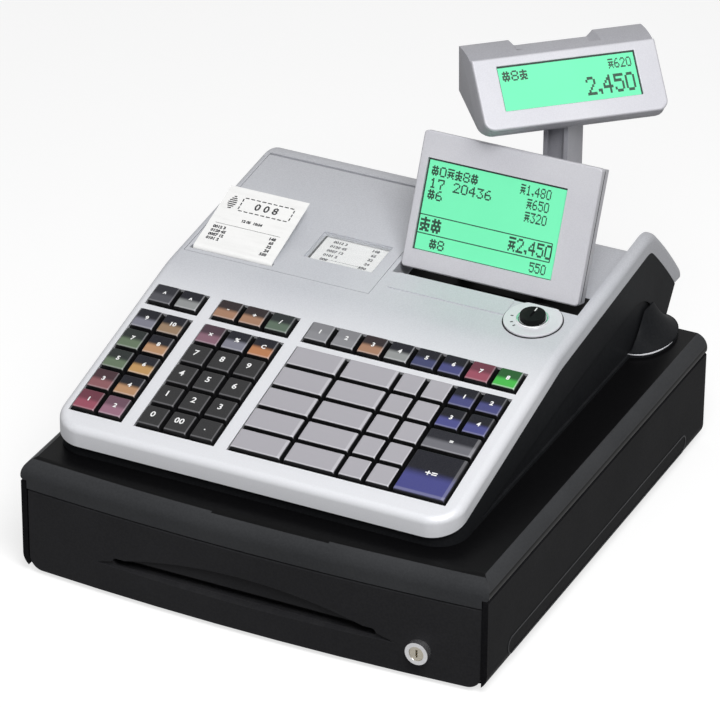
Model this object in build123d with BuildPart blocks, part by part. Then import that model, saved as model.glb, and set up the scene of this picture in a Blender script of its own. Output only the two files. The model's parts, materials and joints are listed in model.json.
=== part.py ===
from build123d import *
import os
from math import cos, radians, sin, tan

os.makedirs("parts", exist_ok=True)

# An electronic cash register: a sloping keyboard and printer casing on a cash drawer, with a tilting
# display for the clerk and a turning display for the customer.
# Millimetres. X to the right, Y towards the rear, Z up, Z = 0 under the feet.

# --- cash drawer ---
mid = -18.7                  # the drawer's middle; the casing above overhangs its rear
drawer_width = 410
drawer_front = mid - 215     # front corners of the side walls
drawer_depth = 435
drawer_rear = drawer_front + drawer_depth
drawer_wall = 5
drawer_bottom = 3            # underside of the case
corner_bottom = 14           # rounded lower edge of the side walls
deck_height = 102
seam_height = deck_height - 16.5     # top cover meets the side walls
seam_chamfer = 1.5
shoulder_width = 9
deck_wall = 2.5
front_band = deck_height - 24        # lower edge of the top cover at the front
front_slope = 15
foot_radius = 11
foot_inset = 32

# --- drawer front and lock ---
front_gap = 0.4
front_bow = 8
front_back = drawer_front + 9
front_top_gap = 1
front_corner = 12
front_top_corner = 2
slot_centre = -4
slot_length = drawer_width - 178
slot_height = 7
slot_depth = 14
slot_base = 31
scoop_length = slot_length + 60
scoop_rise = 23
scoop_depth = 5
lock_x = drawer_width / 2 - 56
lock_z = 28
lock_radius = 9.8
lock_reach = 6
plug_radius = 6.2
running_gap = 0.05           # radial clearance of shafts and pins in their holes

# --- cash tray and its fittings ---
tray_half = drawer_width / 2 - 17
tray_wall = 1.5
tray_base = 10
tray_top = deck_height - 32
tray_rear = drawer_rear - 22
cup_count = 6
cup_depth = 96
coin_height = 42
coin_wall = 2
coin_chamfer = 6
bay_count = 4
divider_wall = 2
divider_height = 50
rod_radius = 3
rod_height = 48
rod_setback = 48
clip_length = 118
clip_width = 14
clip_wall = 2
clip_barrel = 5.2
roller_radius = 8.8
roller_width = 6.5
roller_setback = 34
rail_height = 50
rail_wall = 1.5
rail_gap = 0.4

# --- drawer release ---
hook_setback = 8
hook_rise = 7
hook_reach = 18
hook_width = 6
hook_barrel = 3.5
hook_pin = 1.5
release_width = 44
release_height = 50
release_wall = 1.5
coil_width = 24
coil_depth = 12
coil_height = 28
plunger_side = 4

# --- power supply ---
core_x = 26
core_y = mid + 118
core_width = 58
core_depth = 26
core_height = 46
winding_width = 38
winding_depth = 44
gland_x = -150
gland_z = deck_height + 11
gland_radius = 7
gland_bore = 4
gland_flange = 2.5

# --- register casing ---
case_left = -193
case_right = 162
cover_front = mid - 190
lip_setback = 2              # the keyboard slope starts this far behind the front wall
lip_height = deck_height + 27
keyboard_tilt = 14.2
bend_y = mid + 10
deck_tilt = 6.3
crown_y = mid + 185
bend_radius = 120
crown_radius = 32
crown_turn = 42
tail_y = mid + 262
tail_height = deck_height + 35
tail_turn = 48
tail_low = deck_height + 25
cover_band = 16              # depth of the silver band along the sides
cover_seam = 0.4
cover_wall = 3
cover_corner = 26
cover_edge = 7
base_setback = 4
base_wall = 3
foot_rear_y = mid + 232      # rear wall of the lower casing at the drawer's top
side_recess = 2
recess_drop = 49
recess_top_y = mid + 156
recess_rear_y = mid + 212
lobe_reach = 23
lobe_length = 76
lobe_y = mid + 194
lobe_rim = 4
lobe_rise = 26

# --- keyboard ---
key_pitch = 23.7
row_pitch = 25.3
rows = 5
key_gap = 1.4
key_rise = 3
key_sink = 6
key_taper = 9
key_travel = 3.5
stem_size = 7
stem_gap = 0.3
first_row = 16.5
top_row = 149.5
top_row_depth = 24.5
window_gap = 0.6
left_bank = -160.2
number_bank = -89.6
right_bank = 52.6
bed_drop = key_sink + key_travel + 1
bed_wall = 3
board_drop = 20
board_wall = 1.6
boss_side = 5

# --- printers ---
printer_left = -185
printer_right = -16.5
printer_front = mid + 28
hinge_radius = 3.2
hinge_pin = 1.6
pin_boss = 3.5
lid_wall = 3
lid_gap = 0.5
lid_skirt = 5
slot_gap = 5
window_ledge = 2
pane_wall = 1.2
sheet_length = 70
sheet_lift = 16
reel_radius = 12
receipt_x = -144.5
receipt_width = 73
journal_x = -58
journal_width = 63
window_y = mid + 76
window_length = 40
slot_y = mid + 35
paper_wall = 0.3
roll_radius = 33
core_radius = 6
platen_radius = 7
axle_radius = 2.5
cheek_wall = 2
cheek_drop = 9

# --- clerk's display ---
bay_left = -12
strip_left = -6.5
bay_front = mid + 64
bay_depth = 19
hoop_width = 9
screen_tilt = 67.3
screen_left = -10.1
screen_width = 157.6
screen_length = 113.4
screen_thick = 20
screen_y = mid + 75
bezel_depth = 8
bezel_wall = 2.2
shell_step = 0.8
lcd_wall = 3
screen_corner = 3
bracket_half = 14
bracket_wall = 2
screen_z = deck_height + 84.1
screen_lcd_width = 124
screen_lcd_length = 76
screen_lcd_left = 7.3
screen_lcd_base = 15.8
barrel_radius = 6
barrel_up = 14
barrel_back = 27
barrel_length = 60
ear_wall = 8
ear_pin = 3

# --- mode switch ---
strip_right = 98
strip_front = mid + 42
strip_rise = 0.8
mode_x = 123
mode_y = mid + 43.4
mode_radius = 24
mode_rise = 2.2
rotor_radius = 10.5
rotor_rise = 5
rotor_shaft = 5

# --- customer's display on its mast ---
head_turn = 42.5
head_lean = 44.8
mast_x = 89.4
mast_y = mid + 172
mast_width = 22
mast_depth = 31
mast_foot = deck_height + 20
head_pivot = 26.4            # from the lower edge of the screen back to the mast's axis
head_height = deck_height + 224.2    # lower edge of the screen
head_width = 156
face_below = 15              # face of the bezel below and above the screen's lower edge
face_above = 46
head_back = 64
head_ridge = 26
head_corner = 9
head_bezel_wall = 4
head_wall = 2.5
notch_half = 36
notch_depth = 9
neck_radius = 13
neck_height = 12
spindle_radius = 6
spindle_height = 8
mast_clearance = 0.3
mast_wall = 2
mast_channel = 14
channel_depth = 6
mast_cap = 3
mast_stroke = 10
collar_height = 5
head_lcd_width = 117
head_lcd_length = 38.2
collar_wall = 3
sleeve_gap = 0.3


def slope(angle):
    return tan(radians(angle))


lip_y = cover_front + lip_setback
bend_z = lip_height + (bend_y - lip_y) * slope(keyboard_tilt)
crown_z = bend_z + (crown_y - bend_y) * slope(deck_tilt)
key_plane = Plane(origin=(0, lip_y, lip_height), x_dir=(1, 0, 0),
                  z_dir=(0, -sin(radians(keyboard_tilt)), cos(radians(keyboard_tilt))))
deck_plane = Plane(origin=(0, bend_y, bend_z), x_dir=(1, 0, 0),
                   z_dir=(0, -sin(radians(deck_tilt)), cos(radians(deck_tilt))))


def deck_length(y):
    """Distance up the rear deck from the bend to a given Y."""
    return (y - bend_y) / cos(radians(deck_tilt))


def casing_side(inset, front, floor, foot):
    """Side face of the casing on the YZ plane, its crown moved in by inset."""
    mean = radians((keyboard_tilt + deck_tilt) / 2)
    mitre = inset / cos(radians((keyboard_tilt - deck_tilt) / 2))
    bend = (bend_y + mitre * sin(mean), bend_z - mitre * cos(mean))
    front_z = (lip_height - inset / cos(radians(keyboard_tilt))
               + (front - lip_y) * slope(keyboard_tilt))
    centre = (crown_y + crown_radius * sin(radians(deck_tilt)),
              crown_z - crown_radius * cos(radians(deck_tilt)))
    tail = (tail_y - inset * sin(radians(tail_turn)), tail_height - inset * cos(radians(tail_turn)))
    with BuildSketch() as side:
        with BuildLine():
            arch = CenterArc(centre, crown_radius - inset, 90 + deck_tilt, -(crown_turn + deck_tilt))
            back = TangentArc(arch @ 1, tail, tangent=arch % 1)
            Line(back @ 1, (foot, floor))
            Line((foot, floor), (front, floor))
            Line((front, floor), (front, front_z))
            Line((front, front_z), bend)
            Line(bend, arch @ 0)
        make_face()
        fillet(side.vertices().sort_by_distance((*bend, 0))[0], bend_radius - inset)
    return side.sketch


def casing_plan(margin, front, rear):
    """Plan of the casing with rounded corners, drawn in by margin."""
    with BuildSketch() as plan:
        with Locations(((case_left + case_right) / 2, (front + rear) / 2)):
            RectangleRounded(case_right - case_left - 2 * margin, rear - front, cover_corner - margin)
    return plan.sketch


def save(builder, name):
    builder.part.label = name
    export_step(builder.part, f"parts/{name}.step")


# ---------------------------------------------------------------- cash drawer, fixed parts
case_top = seam_height
with BuildPart() as drawer_case:
    with BuildSketch(Plane.XZ.offset(-drawer_rear)) as section:
        with Locations((0, (drawer_bottom + case_top) / 2)):
            Rectangle(drawer_width, case_top - drawer_bottom)
        fillet(section.vertices().group_by(Axis.Y)[0], corner_bottom)
        chamfer(section.vertices().group_by(Axis.Y)[-1], seam_chamfer)
    extrude(amount=drawer_rear - drawer_front)
    with BuildSketch(Plane.XZ.offset(-(drawer_rear - drawer_wall))):
        with Locations((0, drawer_bottom + drawer_wall)):
            Rectangle(drawer_width - 2 * drawer_wall, case_top, align=(Align.CENTER, Align.MIN))
    extrude(amount=drawer_rear - drawer_front, mode=Mode.SUBTRACT)
    with BuildSketch(Plane.XY):
        with Locations((0, drawer_front)):
            Rectangle(drawer_width - 2 * drawer_wall, 2 * (front_back - drawer_front))
    extrude(amount=case_top, mode=Mode.SUBTRACT)
save(drawer_case, "drawer_case")

# The lid of the drawer: a hollow deck with bulging shoulders and a bowed, rounded front band.
shoulder_low = (drawer_width / 2, seam_height + seam_chamfer)
shoulder_high = (drawer_width / 2 - shoulder_width, deck_height)
deck_inner = drawer_width - 2 * shoulder_width - 2
band_back = drawer_front + front_slope
with BuildPart() as drawer_top_cover:
    with BuildSketch(Plane.XZ.offset(-drawer_rear)):
        with BuildLine():
            foot_point = (drawer_width / 2 - seam_chamfer, seam_height)
            Polyline((0, front_band), (foot_point[0], front_band), foot_point, shoulder_low)
            TangentArc(shoulder_low, shoulder_high, tangent=(0.25, 1))
            Line(shoulder_high, (0, deck_height))
            mirror(about=Plane.YZ)
        make_face()
    extrude(amount=drawer_rear - drawer_front + front_bow)
    with BuildSketch(Plane.XY):
        with BuildLine():
            plan_half = drawer_width / 2 + 1
            ThreePointArc((-plan_half, drawer_front), (0, drawer_front - front_bow), (plan_half, drawer_front))
            Polyline((plan_half, drawer_front), (plan_half, drawer_rear),
                     (-plan_half, drawer_rear), (-plan_half, drawer_front))
        make_face()
    extrude(amount=deck_height, mode=Mode.INTERSECT)
    front_edge = drawer_top_cover.edges().filter_by(GeomType.CIRCLE).group_by(Axis.Z)[-1].sort_by(Axis.Y)[0]
    fillet(front_edge, front_slope)
    with BuildSketch(Plane.XY.offset(deck_height - deck_wall)):
        with Locations((0, (band_back + drawer_rear) / 2)):
            Rectangle(deck_inner, drawer_rear - band_back - 8)
    extrude(amount=-(deck_height - front_band), mode=Mode.SUBTRACT)
    with BuildSketch(Plane.XY.offset(front_band)):
        with Locations((0, mid)):
            Rectangle(2 * drawer_width, 2 * drawer_width)
        with Locations((0, band_back)):
            Rectangle(drawer_width - 2 * drawer_wall - 2 * front_gap, 4 * front_slope, mode=Mode.SUBTRACT)
    extrude(amount=seam_height - front_band, mode=Mode.SUBTRACT)
save(drawer_top_cover, "drawer_top_cover")

with BuildPart() as rubber_feet:
    with BuildSketch(Plane.XY):
        with GridLocations(drawer_width - 2 * foot_inset, drawer_rear - drawer_front - 2 * foot_inset, 2, 2):
            with Locations((0, mid)):
                Circle(foot_radius)
    extrude(amount=drawer_bottom)
save(rubber_feet, "rubber_feet")

# C-shaped rails on the side walls; the rear rollers run between their flanges.
rail_low = rail_height - roller_radius - rail_gap - rail_wall
rail_high = rail_height + roller_radius + rail_gap + rail_wall
rail_outer = drawer_width / 2 - drawer_wall
rail_inner = rail_outer - roller_width - rail_wall - 1
with BuildPart() as drawer_rails:
    for side in (-1, 1):
        with BuildSketch(Plane.XZ.offset(-(tray_rear + 5))):
            with Locations((side * (rail_outer - rail_wall / 2), rail_height)):
                Rectangle(rail_wall, rail_high - rail_low)
            with Locations((side * (rail_outer + rail_inner) / 2, rail_low + rail_wall / 2),
                           (side * (rail_outer + rail_inner) / 2, rail_high - rail_wall / 2)):
                Rectangle(rail_outer - rail_inner, rail_wall)
    extrude(amount=tray_rear - drawer_front - 25)
save(drawer_rails, "drawer_rails")

# ---------------------------------------------------------------- cash drawer, moving parts
front_half = drawer_width / 2 - drawer_wall - front_gap
front_low = drawer_bottom + 0.5
front_high = front_band - front_top_gap
with BuildPart() as drawer_front_panel:
    with BuildSketch(Plane.XY.offset(front_low)):
        with BuildLine():
            ThreePointArc((-front_half, drawer_front), (0, drawer_front - front_bow), (front_half, drawer_front))
            Polyline((front_half, drawer_front), (front_half, front_back),
                     (-front_half, front_back), (-front_half, drawer_front))
        make_face()
    extrude(amount=front_high - front_low)
    with BuildSketch(Plane.XZ.offset(-front_back)) as front_outline:
        with Locations((0, (front_low + front_high) / 2)):
            Rectangle(2 * front_half, front_high - front_low)
        fillet(front_outline.vertices().group_by(Axis.Y)[0], front_corner)
        fillet(front_outline.vertices().group_by(Axis.Y)[-1], front_top_corner)
    extrude(amount=60, mode=Mode.INTERSECT)
    rim = drawer_front_panel.faces().sort_by(Axis.Y)[0].edges()
    chamfer(rim, 1.2)
    with BuildSketch(Plane.XZ.offset(-drawer_front + front_bow + 2)):
        with BuildLine():
            low_left = (slot_centre - scoop_length / 2, slot_base - 4)
            low_right = (slot_centre + scoop_length / 2, slot_base - 4)
            Line(low_left, low_right)
            ThreePointArc(low_right, (slot_centre, slot_base + scoop_rise), low_left)
        make_face()
    extrude(amount=-(scoop_depth + 2), taper=25, mode=Mode.SUBTRACT)
    with BuildSketch(Plane.XZ.offset(-drawer_front + front_bow + 2)):
        with Locations((slot_centre, slot_base + slot_height / 2)):
            SlotOverall(slot_length, slot_height)
    extrude(amount=-(slot_depth + 2), mode=Mode.SUBTRACT)
    with BuildSketch(Plane.XZ.offset(-front_back)):
        with Locations((lock_x, lock_z)):
            Circle(lock_radius)
    extrude(amount=60, mode=Mode.SUBTRACT)
save(drawer_front_panel, "drawer_front")

def bow_at(x):
    """Y of the bowed front at a given X."""
    return drawer_front - front_bow * (1 - (x / front_half) ** 2)


lock_face = bow_at(lock_x) - lock_reach
with BuildPart() as lock_bezel:
    with BuildSketch(Plane.XZ.offset(-front_back)):
        with Locations((lock_x, lock_z)):
            Circle(lock_radius)
            Circle(plug_radius + running_gap, mode=Mode.SUBTRACT)
    extrude(amount=front_back - lock_face)
save(lock_bezel, "lock_bezel")

with BuildPart() as lock_cylinder:
    with BuildSketch(Plane.XZ.offset(-front_back)):
        with Locations((lock_x, lock_z)):
            Circle(plug_radius)
    extrude(amount=front_back - lock_face - 0.8)
    with BuildSketch(Plane.XZ.offset(-lock_face - 5)):
        with Locations((lock_x, lock_z)):
            Rectangle(1.6, 7)
    extrude(amount=6, mode=Mode.SUBTRACT)
save(lock_cylinder, "lock_cylinder")

# Steel tray with three dividers, a clip rod, roller pins and a front flange.
tray_front = front_back
bay_front_y = tray_front + cup_depth + 10
bay_width = 2 * (tray_half - tray_wall) / bay_count
rod_y = tray_rear - rod_setback
roller_y = tray_rear - roller_setback
with BuildPart() as drawer_tray:
    with BuildSketch(Plane.XY.offset(tray_base)):
        with Locations((0, (tray_front + tray_rear) / 2)):
            Rectangle(2 * tray_half, tray_rear - tray_front)
    extrude(amount=tray_top - tray_base)
    with BuildSketch(Plane.XY.offset(tray_base + tray_wall)):
        with Locations((0, (tray_front + tray_rear) / 2)):
            Rectangle(2 * (tray_half - tray_wall), tray_rear - tray_front - 2 * tray_wall)
    extrude(amount=tray_top, mode=Mode.SUBTRACT)
    with BuildSketch(Plane.XY.offset(tray_base)):
        for bay in range(1, bay_count):
            with Locations((bay * bay_width - tray_half + tray_wall, (bay_front_y + tray_rear) / 2)):
                Rectangle(divider_wall, tray_rear - bay_front_y)
    extrude(amount=divider_height)
    with BuildSketch(Plane.YZ.offset(-(tray_half - tray_wall / 2))):
        with Locations((rod_y, rod_height)):
            Circle(rod_radius)
    extrude(amount=2 * tray_half - tray_wall)
    for side in (-1, 1):
        with BuildSketch(Plane.YZ.offset(side * (tray_half - tray_wall / 2))):
            with Locations((roller_y, rail_height)):
                Circle(axle_radius)
        extrude(amount=side * (rail_outer - rail_wall - 0.5 - tray_half + tray_wall / 2))
save(drawer_tray, "drawer_tray")

for side, name in ((-1, "left"), (1, "right")):
    with BuildPart() as roller:
        with BuildSketch(Plane.YZ.offset(side * (rail_outer - rail_wall - 0.8))):
            with Locations((roller_y, rail_height)):
                Circle(roller_radius)
                Circle(axle_radius + running_gap, mode=Mode.SUBTRACT)
        extrude(amount=-side * roller_width)
    save(roller, f"drawer_roller_{name}")

# Coin insert with round-bottomed cups and finger scoops at the front.
cup_half = tray_half - tray_wall - 0.5
cup_pitch = (2 * cup_half - coin_wall) / cup_count
coin_front = tray_front + tray_wall + 0.5
coin_base = tray_base + tray_wall
cup_width = cup_pitch - coin_wall
with BuildPart() as coin_tray:
    with BuildSketch(Plane.XY.offset(coin_base)):
        with Locations((0, coin_front + cup_depth / 2)):
            Rectangle(2 * cup_half, cup_depth)
    extrude(amount=coin_height)
    for cup in range(cup_count):
        cup_x = (cup - (cup_count - 1) / 2) * cup_pitch
        with BuildSketch(Plane.YZ.offset(cup_x - cup_width / 2)):
            with BuildLine():
                cup_top = coin_base + coin_height
                cup_floor = coin_base + coin_wall
                front_top = (coin_front + coin_wall, cup_top)
                rear_top = (coin_front + cup_depth - coin_wall, cup_top)
                rear_low = (coin_front + cup_depth - coin_wall, cup_floor + coin_chamfer)
                front_low_point = (coin_front + coin_wall + coin_height, cup_floor)
                Line(rear_top, front_top)
                Line(rear_top, rear_low)
                Polyline(rear_low, (rear_low[0] - coin_chamfer, cup_floor), front_low_point)
                RadiusArc(front_low_point, front_top, coin_height)
            make_face()
        extrude(amount=cup_width, mode=Mode.SUBTRACT)
save(coin_tray, "coin_tray")

# Sprung clips that hold the notes down, each hinged on the rod.
clip_tip_y = rod_y - clip_length
clip_tip_z = tray_base + tray_wall + 1
for bay in range(bay_count):
    clip_x = (bay - (bay_count - 1) / 2) * bay_width
    with BuildPart() as bill_clip:
        with BuildSketch(Plane.YZ.offset(clip_x - clip_width / 2)):
            with BuildLine():
                Polyline((rod_y, rod_height + clip_barrel), (rod_y - 20, rod_height + 4),
                         (clip_tip_y + 14, clip_tip_z + 2), (clip_tip_y, clip_tip_z + 6))
                offset(amount=clip_wall / 2, side=Side.BOTH, kind=Kind.INTERSECTION)
            make_face()
            with Locations((rod_y, rod_height)):
                Circle(clip_barrel)
                Circle(rod_radius + running_gap, mode=Mode.SUBTRACT)
        extrude(amount=clip_width)
    save(bill_clip, f"bill_clip_{bay + 1}")

# Drawer release on the rear wall: a bracket with a solenoid, and a hook that reaches over the tray.
release_rear = drawer_rear - drawer_wall
hook_y = release_rear - hook_setback
hook_z = tray_top + hook_rise
with BuildPart() as release_solenoid:
    with BuildSketch(Plane.XZ.offset(-release_rear)):
        with Locations((0, hook_z - release_height / 2 + hook_barrel)):
            Rectangle(release_width, release_height)
    extrude(amount=release_wall)
    for side in (-1, 1):
        with BuildSketch(Plane.YZ.offset(side * (hook_width / 2 + stem_gap))):
            with Locations((hook_y, hook_z)):
                Rectangle(2 * hook_setback, 2 * hook_barrel)
        extrude(amount=side * release_wall)
    with BuildSketch(Plane.YZ.offset(-hook_width / 2 - release_wall)):
        with Locations((hook_y, hook_z)):
            Circle(hook_pin)
    extrude(amount=hook_width + 2 * release_wall)
    with BuildSketch(Plane.XY.offset(hook_z - hook_barrel - 2)):
        with Locations((0, release_rear - release_wall)):
            Rectangle(coil_width, coil_depth, align=(Align.CENTER, Align.MAX))
    extrude(amount=-coil_height)
    with BuildSketch(Plane.XY.offset(hook_z - hook_barrel - 2)):
        with Locations((0, hook_y + 1)):
            Rectangle(plunger_side, plunger_side)
    extrude(amount=1.5)
save(release_solenoid, "release_solenoid")

with BuildPart() as latch_hook:
    with BuildSketch(Plane.YZ.offset(-hook_width / 2)):
        with BuildLine():
            Polyline((hook_y, hook_z + hook_barrel), (hook_y - hook_reach, hook_z + hook_barrel),
                     (hook_y - hook_reach, tray_top + 1.5), (hook_y - hook_reach + 3, tray_top + 1.5),
                     (hook_y - hook_reach + 5, hook_z - 1), (hook_y, hook_z - 1), close=True)
        make_face()
        with Locations((hook_y, hook_z)):
            Circle(hook_barrel)
            Circle(hook_pin + running_gap, mode=Mode.SUBTRACT)
    extrude(amount=hook_width)
save(latch_hook, "latch_hook")

# ---------------------------------------------------------------- register casing
banks = ((left_bank, 2), (number_bank, 3), (right_bank, 8))
lid_rear = deck_length(crown_y)
sleeve_width = mast_width + 2 * (sleeve_gap + collar_wall)
sleeve_depth = mast_depth + 2 * (sleeve_gap + collar_wall)
lid_axis = deck_plane.from_local_coords(Vector(0, lid_rear - hinge_radius, -hinge_radius))


def across(x, y, z):
    """Plane that faces +X at a point, its own X along the model's Y."""
    return Plane(origin=(x, y, z), x_dir=(0, 1, 0), z_dir=(1, 0, 0))


def bay_floor_at(y):
    """Height of the display bay's floor."""
    return bend_z + (y - bend_y) * slope(deck_tilt) - bay_depth / cos(radians(deck_tilt))


# Display bay: everything above a lowered crown, between the printers and the right-hand hoop.
bay_right = case_right - hoop_width
with BuildPart() as bay_space:
    with BuildSketch(Plane.YZ.offset(bay_left)):
        with Locations(((bay_front + tail_y + 40) / 2, crown_z)):
            Rectangle(tail_y + 40 - bay_front, 200)
    extrude(amount=bay_right - bay_left)
    with BuildSketch(Plane.YZ.offset(bay_left - 1)):
        add(casing_side(bay_depth, cover_front, 0, tail_y - bay_depth))
    extrude(amount=bay_right - bay_left + 2, mode=Mode.SUBTRACT)

# The same bay grown by the wall, which the cover's hollow keeps clear of.
with BuildPart() as bay_shell:
    with BuildSketch(Plane.YZ.offset(bay_left - cover_wall)):
        with Locations(((bay_front - cover_wall + tail_y + 40) / 2, crown_z)):
            Rectangle(tail_y + 40 - bay_front + cover_wall, 200)
    extrude(amount=case_right - bay_left + cover_wall + 1)
    with BuildSketch(Plane.YZ.offset(bay_left - cover_wall - 1)):
        add(casing_side(bay_depth + cover_wall, cover_front, 0, tail_y - bay_depth))
    extrude(amount=case_right - bay_left + cover_wall + 3, mode=Mode.SUBTRACT)

with BuildPart() as cover_hollow:
    with BuildSketch(Plane.YZ.offset(case_left + cover_wall)):
        add(casing_side(cover_wall, cover_front + cover_wall, deck_height - 20, tail_y - cover_wall))
    extrude(amount=case_right - case_left - 2 * cover_wall)
    with BuildSketch(Plane.XY):
        add(casing_plan(cover_wall, cover_front + cover_wall, tail_y + cover_corner))
    extrude(amount=2 * crown_z, mode=Mode.INTERSECT)
    add(bay_shell.part, mode=Mode.SUBTRACT)


# What lies below the silver band, except the walls of the bay.
with BuildPart() as below_band:
    with BuildSketch(Plane.YZ.offset(case_left - 1)):
        add(casing_side(cover_band, cover_front - 5, 0, tail_y - cover_band))
    extrude(amount=case_right - case_left + 2)
    with BuildSketch(Plane.YZ.offset(bay_right + cover_wall)):
        with Locations(((bay_front - cover_wall + tail_y + 40) / 2, crown_z)):
            Rectangle(tail_y + 40 - bay_front + cover_wall, 200)
    extrude(amount=-(bay_right - bay_left + 2 * cover_wall), mode=Mode.SUBTRACT)
    with BuildSketch(Plane.YZ.offset(case_left)):
        add(casing_side(bay_depth + cover_wall, cover_front - 5, 0, tail_y - bay_depth))
    extrude(amount=case_right - case_left)

with BuildPart() as top_cover:
    with BuildSketch(Plane.YZ.offset(case_left)):
        add(casing_side(0, cover_front, deck_height, tail_y - 4))
    extrude(amount=case_right - case_left)
    with BuildSketch(Plane.XY):
        add(casing_plan(0, cover_front, tail_y + cover_corner))
    extrude(amount=2 * crown_z, mode=Mode.INTERSECT)
    sides = top_cover.faces().filter_by(Axis.X) + top_cover.faces().filter_by(GeomType.CYLINDER).filter_by(
        lambda f: f.radius > cover_corner - 1 and f.center().Y < lip_y + cover_corner)
    rim = [e for f in sides for e in f.edges()
           if abs(e.tangent_at(0.5).Z) < 0.98 and e.center().Z > lip_height - cover_band / 2]
    fillet(rim + top_cover.faces().sort_by(Axis.Y)[0].edges().sort_by(Axis.Z)[-1:], cover_edge)
    add(cover_hollow.part, mode=Mode.SUBTRACT)
    add(bay_space.part, mode=Mode.SUBTRACT)
    add(below_band.part, mode=Mode.SUBTRACT)
    for bank_x, columns in banks:
        with BuildSketch(key_plane):
            with Locations((bank_x, first_row + rows * row_pitch / 2)):
                Rectangle(columns * key_pitch + window_gap, rows * row_pitch + window_gap)
            with Locations((bank_x, top_row + top_row_depth / 2)):
                Rectangle(columns * key_pitch + window_gap, top_row_depth + window_gap)
        extrude(amount=2 * cover_wall, both=True, mode=Mode.SUBTRACT)
    with BuildSketch(deck_plane):
        with Locations(((printer_left + printer_right) / 2, (deck_length(printer_front) + lid_rear) / 2)):
            Rectangle(printer_right - printer_left + 2 * lid_gap, lid_rear - deck_length(printer_front) + 2 * lid_gap)
    extrude(amount=3 * cover_wall, both=True, mode=Mode.SUBTRACT)
    with BuildSketch(deck_plane):
        with Locations((mode_x, deck_length(mode_y))):
            Circle(rotor_shaft + 1)
    extrude(amount=3 * cover_wall, both=True, mode=Mode.SUBTRACT)
    with BuildSketch(deck_plane):
        with Locations(((strip_left + strip_right) / 2, (deck_length(strip_front) + deck_length(bay_front)) / 2)):
            RectangleRounded(strip_right - strip_left, deck_length(bay_front) - deck_length(strip_front), 2)
    extrude(amount=strip_rise)
    with BuildSketch(Plane.XY.offset(mast_foot)):
        with Locations((mast_x, mast_y)):
            Rectangle(sleeve_width, sleeve_depth)
    extrude(amount=2 * crown_z, mode=Mode.SUBTRACT)
    for x, reach in ((printer_left - lid_gap, -pin_boss), (printer_right + lid_gap, pin_boss)):
        with BuildSketch(across(x, lid_axis.Y, lid_axis.Z)):
            Rectangle(2 * hinge_radius, 2 * hinge_radius, rotation=deck_tilt)
        extrude(amount=reach)
        with BuildSketch(across(x, lid_axis.Y, lid_axis.Z)):
            Circle(hinge_pin + running_gap)
        extrude(amount=reach, mode=Mode.SUBTRACT)
    with BuildSketch(Plane.XY):
        with Locations((0, tail_y)):
            Rectangle(2 * drawer_width, 2 * (tail_y - crown_y))
    extrude(amount=tail_low, mode=Mode.SUBTRACT)
save(top_cover, "top_cover")

base_front = cover_front + base_setback
base_inset = cover_band + cover_seam
rear_high = (tail_y - base_inset * sin(radians(tail_turn)), tail_height - base_inset * cos(radians(tail_turn)))
rear_lean = Vector(0, rear_high[0] - foot_rear_y, rear_high[1] - deck_height).normalized()
gland_y = foot_rear_y + (gland_z - deck_height) * rear_lean.Y / rear_lean.Z
gland_plane = Plane(origin=(gland_x, gland_y, gland_z), x_dir=(1, 0, 0), z_dir=(0, rear_lean.Z, -rear_lean.Y))
with BuildPart() as base_hollow:
    with BuildSketch(Plane.YZ.offset(case_left + base_wall + side_recess)):
        with Locations((-base_wall, 0)):
            add(casing_side(cover_band - base_wall, base_front, deck_height + base_wall, foot_rear_y))
    extrude(amount=case_right - case_left - 2 * (base_wall + side_recess))
    with BuildSketch(Plane.XY):
        add(casing_plan(base_wall, base_front + base_wall, tail_y + cover_corner))
    extrude(amount=2 * crown_z, mode=Mode.INTERSECT)

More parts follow.
